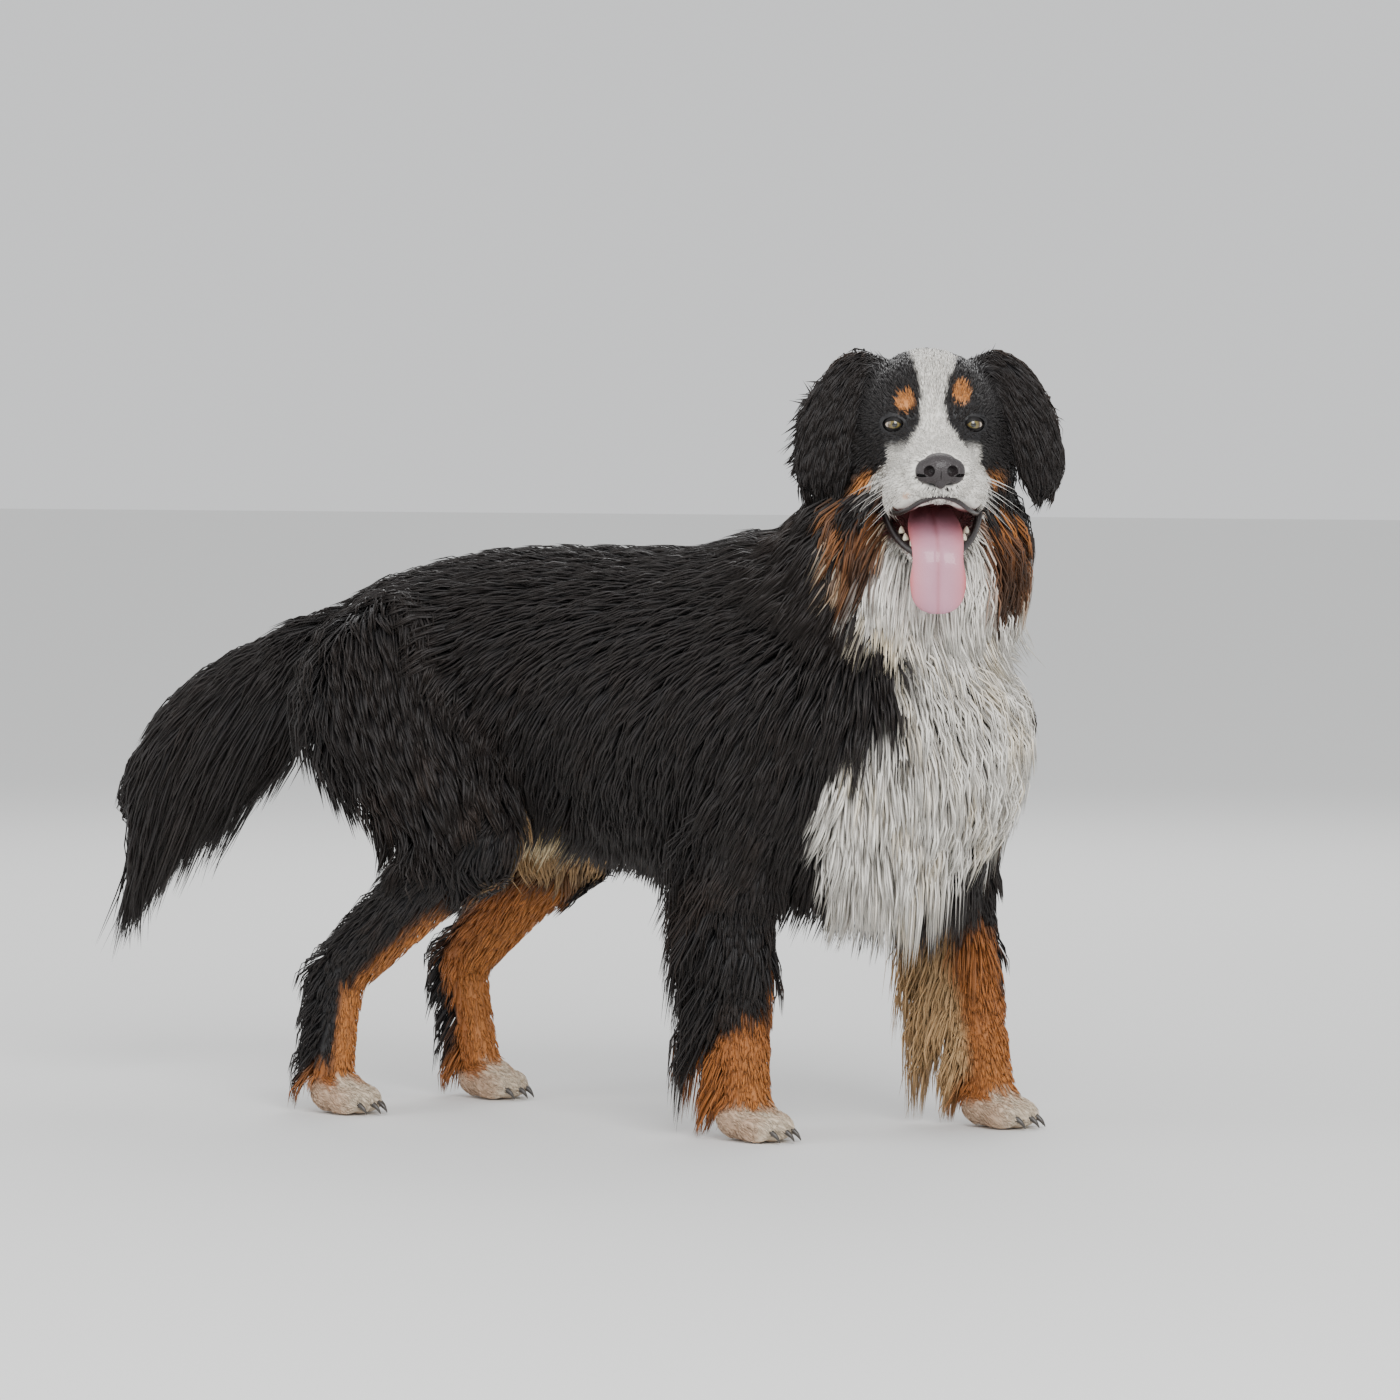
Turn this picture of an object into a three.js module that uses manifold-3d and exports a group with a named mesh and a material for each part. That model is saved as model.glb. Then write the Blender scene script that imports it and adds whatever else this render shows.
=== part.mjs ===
// A Bernese mountain dog as a life-size still model. It stands square on four feet with its forequarters
// turned a little to its right, its head turned further the same way, its mouth open and its tongue out.
// Millimetres, +X towards the dog's front, +Y to its left, +Z up, with the floor at z = 0.
// Every part is a closed solid: a core of flesh and undercoat, and on the long-coated parts flat, tapered
// locks of hair rooted in it and combed along the lie of the coat.
import * as THREE from "three";
import { mergeVertices } from "three/addons/utils/BufferGeometryUtils.js";
import Module from "manifold-3d";

const wasm = await Module();
wasm.setup();

// Driving sizes
const GAP = 0.4; // between neighbouring solids
const CROSSING_EDGE = 0.6; // shortest edge kept where the pieces of a node cross
const CUT_EDGE = 0.02; // shortest edge kept where a neighbour is cut clear
const SEED = 7; // of the draws that vary the locks
const PLAN_CENTRE = new THREE.Vector2(-176.5, -15.9); // middle of the dog's plan, moved to the origin
const HEAD_AT = new THREE.Vector3(310, -35, 800); // middle of the skull
const HEAD_YAW = -60; // degrees, where 0 faces +X
const HEAD_PITCH = 3; // degrees, nose down
const UNDERCOAT = { torso: 11, neck: 22, thigh: 11, arm: 9, shank: 8, forearm: 8, head: 4 };

const Z_UP = new THREE.Vector3(0, 0, 1);
const FORWARD = new THREE.Vector3(1, 0, 0);
const NECK_BACK = new THREE.Vector3(-1, 0, 0.3);
const TONGUE_TOP = new THREE.Vector3(1, 0, 1);

// Sections of the flesh. Each station is x, y, z, half width, half size above, half size below; in a limb
// above is its front and below its back.
const TORSO = [
  [-442, 0, 522, 46, 44, 50],
  [-402, 0, 528, 90, 78, 98],
  [-322, 0, 525, 112, 107, 127],
  [-222, 0, 520, 116, 125, 140],
  [-122, -2, 510, 130, 137, 152],
  [0, -9, 495, 142, 154, 165],
  [110, -22, 480, 144, 181, 164],
  [210, -34, 470, 140, 168, 156],
  [290, -34, 462, 128, 124, 130],
  [345, -32, 454, 86, 76, 88],
  [372, -30, 450, 42, 38, 44],
];
const NECK = [
  [118, -22, 500, 96, 108, 128],
  [190, -10, 570, 108, 108, 126],
  [238, 4, 640, 104, 96, 114],
  [262, 10, 708, 93, 80, 94],
  [268, 12, 752, 73, 60, 68],
  [266, 12, 790, 36, 26, 30],
];
const SKULL = [
  [-112, 0, 8, 24, 24, 28],
  [-98, 0, 8, 54, 50, 55],
  [-62, 0, 6, 75, 70, 74],
  [-22, 0, 2, 80, 79, 78],
  [16, 0, -2, 76, 78, 76],
  [46, 0, -8, 63, 62, 68],
  [68, 0, -22, 51, 36, 52],
  [92, 0, -34, 43, 31, 42],
  [124, 0, -38, 42, 28, 38],
  [150, 0, -42, 36, 26, 32],
  [163, 0, -44, 24, 17, 22],
];
const JAW = [
  [-30, 0, -66, 46, 20, 26],
  [10, 0, -87, 50, 16, 25],
  [48, 0, -109, 45, 13, 22],
  [82, 0, -129, 36, 12, 19],
  [101, 0, -139, 27, 11, 16],
  [111, 0, -143, 14, 7, 9],
];
const TONGUE = [
  [34, 0, -90, 24, 6, 5],
  [70, 0, -103, 29, 6, 5],
  [102, 0, -113, 30, 6, 4],
  [124, 0, -122, 29, 5, 4],
  [135, 0, -138, 29, 4, 4],
  [138, 0, -160, 32, 4, 4],
  [137, 0, -182, 29, 4, 4],
  [135, 0, -195, 17, 3, 3],
];
const TAIL = [
  [-404, 0, 562, 42, 36, 42],
  [-466, 0, 548, 36, 30, 38],
  [-530, 0, 534, 31, 27, 38],
  [-596, 0, 512, 28, 26, 38],
  [-660, 0, 480, 26, 25, 36],
  [-714, 0, 437, 23, 23, 30],
  [-750, 0, 392, 17, 18, 22],
  [-766, 0, 362, 8, 9, 10],
];
const TAIL_JOIN = 3; // the station where the tail's two lengths meet

// The legs, by the middle of each joint, and by side: 1 is left and -1 is right.
const FORELEG = {
  [-1]: { shoulder: [238, -132, 462], elbow: [128, -140, 338], knee: [124, -131, 106], paw: [126, -130, 0] },
  [1]: { shoulder: [306, 96, 470], elbow: [272, 108, 340], knee: [302, 116, 106], paw: [312, 120, 0] },
};
const HINDLEG = {
  [-1]: { hip: [-352, -92, 508], knee: [-222, -124, 330], hock: [-412, -113, 168], paw: [-424, -110, 0] },
  [1]: { hip: [-352, 92, 508], knee: [-232, 122, 318], hock: [-380, 112, 166], paw: [-352, 110, 0] },
};

const material = (color, roughness, metalness = 0) =>
  new THREE.MeshStandardMaterial({ color, roughness, metalness });
const BLACK_COAT = material(0x15130f, 0.6);
const WHITE_COAT = material(0xeae4d4, 0.7);
const RUST_COAT = material(0x8d4a1c, 0.7);
const LEATHER_NOSE = material(0x2b2426, 0.35);
const WET_TONGUE = material(0xc98a9c, 0.35);
const AMBER_EYE = material(0x5c3d17, 0.1);

// Shapes

const LOCK_TAPER = [0.75, 1, 0.75, 0]; // width and thickness at the rings of a lock
const LOCK_INNER = 0.36; // radius of the circle that fits in a lock's section, as a share of its thickness

const vector = (numbers) => new THREE.Vector3(...numbers.slice(0, 3));

// A closed tube bent and swollen along stations. The sections are superellipses, rounder at power 2, and
// square to the path, or all square to one direction if facing gives it.
function loft(stations, form = {}) {
  const { sides = 12, perStation = 1, up = Z_UP, power = 2, cup = 0, facing, grow = 0 } = form;
  const path = new THREE.CatmullRomCurve3(stations.map(vector), false, "catmullrom");
  const sizes = new THREE.CatmullRomCurve3(stations.map((s) => vector(s.slice(3))), false, "catmullrom");
  const tube = new THREE.CylinderGeometry(1, 1, 1, sides, (stations.length - 1) * perStation);
  const corners = tube.attributes.position;
  for (let i = 0; i < corners.count; i++) {
    const along = 0.5 - corners.getY(i);
    const round = Math.hypot(corners.getX(i), corners.getZ(i));
    const [across, high] = round ? [corners.getX(i) / round, corners.getZ(i) / round] : [0, 0];
    const reach = round && (Math.abs(across) ** power + Math.abs(high) ** power) ** (-1 / power);
    const size = sizes.getPoint(along);
    const tangent = facing ?? path.getTangent(along);
    const side = up.clone().cross(tangent).normalize();
    const above = tangent.clone().cross(side);
    const half = high > 0 ? size.y : size.z;
    const end = (along < 1e-6 ? -grow : 0) + (along > 1 - 1e-6 ? grow : 0);
    const at = path
      .getPoint(along)
      .addScaledVector(side, across * reach * (size.x + grow))
      .addScaledVector(above, high * reach * (half + grow) + cup * size.x * (across * reach) ** 2)
      .addScaledVector(tangent, end);
    corners.setXYZ(i, at.x, at.y, at.z);
  }
  return tube;
}

// A limb bone with its flesh: a tapered tube with round ends from one joint to the next.
function limb(from, to, fromRadius, toRadius, { flat = 0.85, sides = 10, grow = 0, up = FORWARD } = {}) {
  const [a, b] = [vector(from), vector(to)];
  const along = b.clone().sub(a).normalize();
  const ring = (at, shift, radius) => {
    const p = at.clone().addScaledVector(along, shift);
    return [p.x, p.y, p.z, radius * flat, radius, radius];
  };
  const stations = [
    ring(a, -0.95 * fromRadius, 0.3 * fromRadius),
    ring(a, -0.6 * fromRadius, 0.8 * fromRadius),
    ring(a, 0, fromRadius),
    ring(b, 0, toRadius),
    ring(b, 0.6 * toRadius, 0.8 * toRadius),
    ring(b, 0.95 * toRadius, 0.3 * toRadius),
  ];
  return loft(stations, { sides, up, grow });
}

function ellipsoid(centre, radii, { sides = 12, grow = 0 } = {}) {
  return new THREE.SphereGeometry(1, sides, Math.round(sides * 0.7))
    .scale(...radii.map((r) => r + grow))
    .translate(...centre);
}

// A flat, tapered lock along a few rings, wide across the hair's lie and thin towards the skin. A ring has
// its middle, the way across and the way out of the coat. Its three faces grow outwards by the growth and
// a little more for their twist, so its sharp edges and its tip move out much further.
function lock(rings, width, thickness, grow = 0) {
  const last = rings.length - 1;
  const blade = new THREE.ConeGeometry(1, 1, 3, last);
  const corners = blade.attributes.position;
  for (let i = 0; i < corners.count; i++) {
    const ring = Math.round((corners.getY(i) + 0.5) * last);
    const { middle, side, out } = rings[ring];
    const share = LOCK_TAPER[ring];
    const round = ring < last ? Math.hypot(corners.getX(i), corners.getZ(i)) : 0;
    const [across, high] = round > 1e-6 ? [-corners.getX(i) / round, corners.getZ(i) / round] : [0, 0];
    const swell = round > 1e-6 ? 1 + (1.6 * grow) / (LOCK_INNER * thickness * share) : 1;
    const centre = (LOCK_INNER - 0.25) * thickness * share;
    const at = middle
      .clone()
      .addScaledVector(side, 0.5 * across * width * share * swell)
      .addScaledVector(out, (0.5 * high * thickness * share - centre) * swell + centre);
    if (ring === last) at.addScaledVector(out.clone().cross(side), -16 * grow);
    corners.setXYZ(i, at.x, at.y, at.z);
  }
  return blade;
}

// Solids

function solid(geometry) {
  const bare = geometry.clone();
  bare.deleteAttribute("normal");
  bare.deleteAttribute("uv");
  const merged = mergeVertices(bare, 1e-4);
  return new wasm.Manifold(
    new wasm.Mesh({
      numProp: 3,
      vertProperties: merged.attributes.position.array,
      triVerts: new Uint32Array(merged.index.array),
    }),
  );
}

const fuse = (geometries) => wasm.Manifold.union(geometries.map(solid));

const largest = (made) => made.decompose().sort((a, b) => b.volume() - a.volume())[0];

function meshOf(made, name, finish) {
  const data = made.getMesh();
  const geometry = new THREE.BufferGeometry()
    .setAttribute("position", new THREE.BufferAttribute(data.vertProperties, 3))
    .setIndex(new THREE.BufferAttribute(data.triVerts, 1));
  geometry.computeVertexNormals();
  const mesh = new THREE.Mesh(geometry, finish);
  mesh.name = name;
  return mesh;
}

// A number from 0 to 1 that is the same at each run.
let drawn = SEED;
function draw() {
  drawn = (drawn * 1664525 + 1013904223) % 4294967296;
  return drawn / 4294967296;
}
const vary = (middle, share) => middle * (1 + share * (2 * draw() - 1));

const HEAD_FRAME = new THREE.Matrix4()
  .makeTranslation(HEAD_AT.x, HEAD_AT.y, HEAD_AT.z)
  .multiply(new THREE.Matrix4().makeRotationZ(THREE.MathUtils.degToRad(HEAD_YAW)))
  .multiply(new THREE.Matrix4().makeRotationY(THREE.MathUtils.degToRad(HEAD_PITCH)));
const HEAD_TURN = new THREE.Matrix4().extractRotation(HEAD_FRAME);
const onHead = (geometry) => geometry.applyMatrix4(HEAD_FRAME);

const thicken = (stations, depth) =>
  stations.map(([x, y, z, side, above, below]) => [x, y, z, side + depth, above + depth, below + depth]);

// A node is a list of pieces, each made again with a little growth to cut its neighbours clear of it,
// and a list of the openings cut in it.
const nodes = new Map();
function piece(node, make, finish) {
  if (!nodes.has(node)) nodes.set(node, { pieces: [], openings: [], finish });
  nodes.get(node).pieces.push(make);
}
const opening = (node, make) => nodes.get(node).openings.push(make);

// Head

const SIDES = [
  ["left", 1],
  ["right", -1],
];
const EYE_AT = [53, 43, 8];
const EYE_TURN = 0.3; // radians outward from straight ahead
const UPPER_LIP = [
  [20, 50, -70],
  [50, 48, -79],
  [80, 43, -86],
  [106, 38, -87],
  [132, 32, -81],
  [152, 18, -71],
  [159, 0, -66],
];
const LOWER_LIP = [
  [14, 53, -76],
  [42, 50, -95],
  [72, 41, -114],
  [94, 28, -127],
  [107, 13, -134],
  [111, 0, -136],
];

// A shape made facing +X at the origin, placed at an eye and turned to look where the eye looks.
const atEye = (geometry, side) =>
  onHead(geometry.rotateZ(side * EYE_TURN).translate(EYE_AT[0], side * EYE_AT[1], EYE_AT[2]));

// A lip: a thin roll along a line from one corner of the mouth round the front to the other.
function lip(line, radius, grow) {
  const points = [...line.map((p) => [...p]), ...line.slice(0, -1).reverse().map(([x, y, z]) => [x, -y, z])];
  const stations = points.map(([x, y, z]) => [x, y, z, radius, radius, radius]);
  return onHead(loft(stations, { sides: 5, grow }));
}

function addMouth() {
  const tongue = { sides: 10, power: 2.4, up: TONGUE_TOP };
  piece("tongue", (grow) => onHead(loft(TONGUE, { ...tongue, grow })), WET_TONGUE);
  piece("lower_jaw", (grow) => onHead(loft(JAW, { sides: 12, facing: FORWARD, grow })), WHITE_COAT);
  piece("lower_jaw", (grow) => lip(LOWER_LIP, 5, grow));
  for (const [, side] of SIDES) {
    for (let i = 0; i < 3; i++) {
      const tooth = new THREE.ConeGeometry(1, 1, 5, 1).rotateX(Math.PI / 2);
      const middle = [100 - 17 * i, side * (17 + 4 * i), -102 + 8 * i];
      const high = i ? 22 : 34;
      piece("lower_jaw", (grow) =>
        onHead(tooth.clone().scale(5 + grow, 4 + grow, high + grow).translate(...middle)));
    }
  }
}

function addHead() {
  for (const [name, side] of SIDES)
    piece(
      `eye_${name}`,
      (grow) => atEye(ellipsoid([0, 0, 0], [12, 12, 12], { sides: 10, grow }), side),
      AMBER_EYE,
    );

  piece("nose", (grow) => onHead(ellipsoid([161, 0, -41], [15, 26, 20], { sides: 10, grow })), LEATHER_NOSE);
  for (const [, side] of SIDES)
    opening("nose", () => onHead(ellipsoid([173, side * 10, -43], [9, 4.5, 4.5], { sides: 6 })));

  const skull = thicken(SKULL, UNDERCOAT.head);
  const skullForm = { sides: 18, perStation: 1, power: 2.2, facing: FORWARD };
  piece("head", (grow) => onHead(loft(skull, { ...skullForm, grow })), BLACK_COAT);
  piece("head", (grow) => lip(UPPER_LIP, 4.5, grow));
  for (const [, side] of SIDES) {
    const masses = [
      [[-16, side * 55, -30], [54, 40, 56]], // cheek
      [[102, side * 31, -62], [50, 24, 29]], // flew
      [[36, side * 35, 26], [30, 27, 19]], // brow
    ];
    for (const [centre, radii] of masses)
      piece("head", (grow) => onHead(ellipsoid(centre, radii, { sides: 9, grow })));
    // lids round an almond opening that shows the eye
    const rim = (grow) => {
      const ring = new THREE.TorusGeometry(13.5, 4.5 + grow, 5, 10).rotateY(Math.PI / 2);
      return ring.scale(1, 1, 0.74).translate(6, 0, 0);
    };
    piece("head", (grow) => atEye(rim(grow), side));
    opening("head", () => atEye(ellipsoid([20, 0, 0], [26, 11.5, 8], { sides: 8 }), side));
  }
}

const EAR_SPREAD = { [-1]: 1.03, [1]: 1.15 }; // the left ear stands further out
const earFlap = (side) =>
  [
    [-40, 52, 66, 30, 9, 9],
    [-32, 84, 58, 40, 9, 9],
    [-22, 106, 22, 44, 8, 7],
    [-15, 119, -16, 41, 7, 6],
    [-12, 127, -48, 28, 6, 5],
    [-12, 129, -68, 12, 4, 4],
  ].map(([x, y, ...rest]) => [x, side * y * EAR_SPREAD[side], ...rest]);
const earOut = (side) => new THREE.Vector3(0.67, side * 0.63, 0.36); // the way its outer face looks
const earAxis = (side) => earFlap(side).map((station) => vector(station).applyMatrix4(HEAD_FRAME).toArray());

function addEars() {
  for (const [name, side] of SIDES) {
    const flap = earFlap(side);
    piece(
      `ear_${name}`,
      (grow) => onHead(loft(flap, { sides: 10, perStation: 1, up: earOut(side), cup: -0.18, grow })),
      BLACK_COAT,
    );
  }
}

// Trunk

function addTrunk() {
  const torso = thicken(TORSO, UNDERCOAT.torso);
  const neck = thicken(NECK, UNDERCOAT.neck);
  piece("neck", (grow) => loft(neck, { sides: 16, up: NECK_BACK, grow }), BLACK_COAT);
  piece("torso", (grow) => loft(torso, { sides: 20, facing: FORWARD, grow }), BLACK_COAT);
}

function addTail() {
  const lengths = { tail_base: TAIL.slice(0, TAIL_JOIN + 1), tail_tip: TAIL.slice(TAIL_JOIN) };
  for (const [name, stations] of Object.entries(lengths))
    piece(name, (grow) => loft(stations, { sides: 10, grow }), BLACK_COAT);
}

// Legs

function addPaw(node, [x, y], reach, spread) {
  const pad = { middle: [x + 4, y, 22], radii: [38 * reach, 33 * spread, 26] };
  piece(node, (grow) => ellipsoid(pad.middle, pad.radii, { sides: 8, grow }), RUST_COAT);
  for (let toe = 0; toe < 4; toe++) {
    const aside = (toe - 1.5) * 16 * spread;
    const ahead = (toe === 1 || toe === 2 ? 36 : 26) * reach;
    piece(node, (grow) => ellipsoid([x + ahead, y + aside, 15], [23, 11, 18], { sides: 6, grow }));
    const claw = new THREE.ConeGeometry(1, 1, 4, 1).rotateZ(-Math.PI / 2 - 0.35);
    const root = [x + ahead + 20, y + aside, 10];
    piece(node, (grow) => claw.clone().scale(20 + grow, 8 + grow, 9 + grow).translate(...root));
  }
}

function addForelegs() {
  const { arm, forearm } = UNDERCOAT;
  for (const [name, side] of SIDES) {
    const { shoulder, elbow, knee, paw } = FORELEG[side];
    const cuff = [paw[0] + 2, paw[1], 46];
    const upper = { sides: 12, flat: 0.78 };
    piece(`arm_${name}`, (grow) => limb(shoulder, elbow, 56 + arm, 44 + arm, { ...upper, grow }), BLACK_COAT);
    piece(`foreleg_${name}`, (grow) => limb(elbow, knee, 40 + forearm, 28 + forearm, { grow }), BLACK_COAT);
    piece(`foreleg_${name}`, (grow) => limb(knee, cuff, 29 + forearm, 25 + forearm, { grow }));
    addPaw(`paw_fore_${name}`, paw, 1, 1);
  }
}

function addHindlegs() {
  const { thigh, shank } = UNDERCOAT;
  for (const [name, side] of SIDES) {
    const { hip, knee, hock, paw } = HINDLEG[side];
    const cuff = [paw[0] - 6, paw[1], 46];
    const upper = { sides: 12, flat: 0.64 };
    piece(`thigh_${name}`, (grow) => limb(hip, knee, 92 + thigh, 50 + thigh, { ...upper, grow }), BLACK_COAT);
    piece(`shank_${name}`, (grow) => limb(knee, hock, 44 + shank, 26 + shank, { grow }), BLACK_COAT);
    piece(`hock_${name}`, (grow) => limb(hock, cuff, 25 + shank, 21 + shank, { grow }), BLACK_COAT);
    addPaw(`paw_hind_${name}`, paw, 0.94, 0.94);
  }
}

// Coat

const DOWN = new THREE.Vector3(0, 0, -1);
const ray = new THREE.Raycaster();
const cores = []; // one bare mesh a node, made before any lock is laid

// What a ray meets first on its way in from a distance outside a point.
function surfaceUnder(point, out, distance) {
  ray.set(point.clone().addScaledVector(out, distance), out.clone().negate());
  return ray.intersectObjects(cores, false)[0];
}

// Rings of a lock that is rooted under a point of a core and follows the surface the way the hair flows, or
// hangs free where it runs off the surface.
function layRings(root, out, { length, lift, flow, hang = 0, sink = 12 }, tangent) {
  const step = vary(length, 0.15) / 3;
  const twist = 0.22 * (2 * draw() - 1);
  const normal = out.clone();
  const at = root.clone();
  const way = new THREE.Vector3();
  const rings = [];
  for (const share of [0, 0.5, 0.85, 1]) {
    way.copy(flow(at, normal, tangent)).applyAxisAngle(normal, twist);
    const off = way.dot(normal);
    way.addScaledVector(normal, hang && off > 0 ? -0.55 * off : -off).normalize();
    way.addScaledVector(DOWN, hang * share).normalize();
    if (share) {
      at.addScaledVector(way, step);
      const hit = surfaceUnder(at, normal, 70);
      if (hit && Math.abs(hit.distance - 70) < 28) {
        at.copy(hit.point);
        normal.lerp(hit.face.normal, 0.6).normalize();
      }
    }
    const side = normal.clone().cross(way).normalize();
    const middle = at.clone().addScaledVector(normal, share ? lift * share : -sink);
    rings.push({ middle, side, out: way.clone().cross(side) });
  }
  return rings;
}

// Locks in staggered rows round a path. Angles are in degrees, 0 to the path's left and 90 above it, and
// mirror swaps the sides. A lock is left out where a ray from outside meets another node first.
function addLocks(node, points, hair) {
  const { up = Z_UP, from = 0, to = 1, rows, arc, around, mirror = false, width, thickness = 13 } = hair;
  const path = new THREE.CatmullRomCurve3(points.map(vector), false, "catmullrom");
  for (let row = 0; row < rows; row++) {
    const share = rows > 1 ? row / (rows - 1) : 0;
    const along = from + (to - from) * share;
    const tangent = path.getTangentAt(along);
    const left = up.clone().cross(tangent).normalize();
    const above = tangent.clone().cross(left);
    for (let i = 0; i < around; i++) {
      const place = (i + 0.25 + 0.5 * (row % 2) + 0.2 * (draw() - 0.5)) / around;
      const angle = THREE.MathUtils.degToRad(arc[0] + (arc[1] - arc[0]) * place);
      const aside = Math.cos(angle) * (mirror ? -1 : 1);
      const out = left.clone().multiplyScalar(aside).addScaledVector(above, Math.sin(angle));
      const hit = surfaceUnder(path.getPointAt(along), out, 500);
      if (!hit || hit.object.name !== node) continue;
      const rings = layRings(hit.point, hit.face.normal, hair, tangent);
      const wide = vary(width, 0.12);
      piece(node, (grow) => lock(rings, wide, thickness, grow));
    }
  }
}

const between = (low, high, value) => THREE.MathUtils.smoothstep(value, low, high);

// The way the hair lies, at a point of the surface
const trunkFlow = (at) => {
  const low = 1 - between(420, 640, at.z);
  const front = between(190, 310, at.x);
  const rear = between(320, 420, -at.x);
  return new THREE.Vector3(-1 + 0.8 * front + 0.45 * rear, 0, -0.12 - 1.3 * low - 1.2 * front - 0.6 * rear);
};
const neckFlow = (at, out) => new THREE.Vector3(-0.25 - 0.35 * between(-0.3, 0.7, -out.x), -0.1, -1);
const limbFlow = () => new THREE.Vector3(-0.45, 0, -1);
const featherFlow = () => new THREE.Vector3(-1, 0, -0.8);
const tailFlow = (at, out, tangent) => tangent.clone().addScaledVector(DOWN, 0.9);
const earFlow = () => new THREE.Vector3(0, 0, -1);

// Locks in rows along a path, as shares of its length, and round it over an arc.
const CHEST_AXIS = [
  [225, -58, 540],
  [215, -58, 330],
];
const TRUNK_COAT = [
  {
    node: "torso", path: TORSO, flow: trunkFlow,
    rows: 7, from: 0.09, to: 0.85, arc: [-52, 232], around: 7, width: 72, length: 165, lift: 17,
  },
  {
    node: "torso", path: TORSO, flow: trunkFlow,
    rows: 5, from: 0.25, to: 0.85, arc: [-125, -55], around: 2, width: 66, length: 115, lift: 40, hang: 0.9,
  },
  {
    node: "torso", path: CHEST_AXIS, flow: trunkFlow, up: FORWARD,
    rows: 3, from: 0.05, to: 0.98, arc: [15, 165], around: 4, width: 70, length: 150, lift: 34, hang: 0.3,
  },
  {
    node: "neck", path: NECK, flow: neckFlow, up: NECK_BACK,
    rows: 4, from: 0.14, to: 0.86, arc: [0, 360], around: 8, width: 84, length: 165, lift: 40,
  },
  {
    node: "tail_base", path: TAIL, flow: tailFlow,
    rows: 3, from: 0.08, to: 0.38, arc: [-165, -15], around: 2, width: 64, length: 215, lift: 30, hang: 0.8,
  },
  {
    node: "tail_base", path: TAIL, flow: tailFlow,
    rows: 2, from: 0.12, to: 0.36, arc: [20, 160], around: 2, width: 44, length: 130, lift: 14,
  },
  {
    node: "tail_tip", path: TAIL, flow: tailFlow,
    rows: 3, from: 0.5, to: 0.93, arc: [-165, -15], around: 3, width: 48, length: 180, lift: 24, hang: 0.5,
  },
  {
    node: "tail_tip", path: TAIL, flow: tailFlow,
    rows: 2, from: 0.55, to: 0.88, arc: [20, 160], around: 2, width: 42, length: 130, lift: 12,
  },
];
const LIMB_COAT = [
  {
    limb: "arm", flow: featherFlow,
    rows: 2, from: 0.7, to: 1, arc: [-120, -70], around: 1, width: 52, length: 170, lift: 44, hang: 0.5,
  },
  {
    limb: "arm", flow: limbFlow,
    rows: 3, from: 0, to: 0.9, arc: [-80, 60], around: 2, width: 58, length: 120, lift: 12,
  },
  {
    limb: "foreleg", flow: featherFlow,
    rows: 3, from: 0.12, to: 0.62, arc: [-110, -70], around: 1, width: 48, length: 160, lift: 44, hang: 0.5,
  },
  {
    limb: "thigh", flow: limbFlow,
    rows: 3, from: 0, to: 1, arc: [-70, 80], around: 3, width: 60, length: 140, lift: 16,
  },
  {
    limb: "thigh", flow: featherFlow,
    rows: 4, from: 0.1, to: 0.95, arc: [-102, -78], around: 1, width: 66, length: 150, lift: 30, hang: 0.4,
  },
  {
    limb: "shank", flow: featherFlow,
    rows: 2, from: 0.3, to: 0.85, arc: [-125, -55], around: 2, width: 36, length: 85, lift: 16, hang: 0.3,
  },
  {
    limb: "hock", flow: featherFlow,
    rows: 2, from: 0.1, to: 0.55, arc: [-120, -60], around: 1, width: 38, length: 90, lift: 24, hang: 0.3,
  },
];
const EAR_COAT = {
  flow: earFlow,
  rows: 2, from: 0.4, to: 0.8, arc: [30, 150], around: 2, width: 34, length: 70, lift: 5,
  sink: 4, thickness: 8,
};

function addCoat() {
  for (const [name, { pieces }] of nodes) cores.push(meshOf(fuse(pieces.map((make) => make(0))), name));

  for (const hair of TRUNK_COAT) addLocks(hair.node, hair.path, hair);
  for (const [name, side] of SIDES) {
    const { shoulder, elbow, knee } = FORELEG[side];
    const { hip, knee: stifle, hock, paw } = HINDLEG[side];
    const bones = {
      arm: [shoulder, elbow],
      foreleg: [elbow, knee],
      thigh: [hip, stifle],
      shank: [stifle, hock],
      hock: [hock, [paw[0], paw[1], 46]],
    };
    for (const hair of LIMB_COAT)
      addLocks(`${hair.limb}_${name}`, bones[hair.limb], { up: FORWARD, mirror: side < 0, ...hair });
    addLocks(`ear_${name}`, earAxis(side), { up: earOut(side).applyMatrix4(HEAD_TURN), ...EAR_COAT });
  }
}

// Assembly

addHead();
addMouth();
addEars();
addForelegs();
addHindlegs();
addTail();
addTrunk();
addCoat();

// Where two nodes meet, the one that comes first here keeps its shape and the other is cut clear of it.
const ORDER = [
  "eye_left", "eye_right", "nose", "tongue", "lower_jaw", "ear_left", "ear_right", "head",
  "paw_fore_left", "paw_fore_right", "paw_hind_left", "paw_hind_right",
  "foreleg_left", "foreleg_right", "arm_left", "arm_right",
  "hock_left", "hock_right", "shank_left", "shank_right", "thigh_left", "thigh_right",
  "tail_tip", "tail_base", "torso", "neck",
];

const below = solid(new THREE.BoxGeometry(3000, 3000, 200).translate(0, 0, -100));
const boxesMeet = (a, b) => [0, 1, 2].every((i) => a.min[i] <= b.max[i] && b.min[i] <= a.max[i]);

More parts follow.
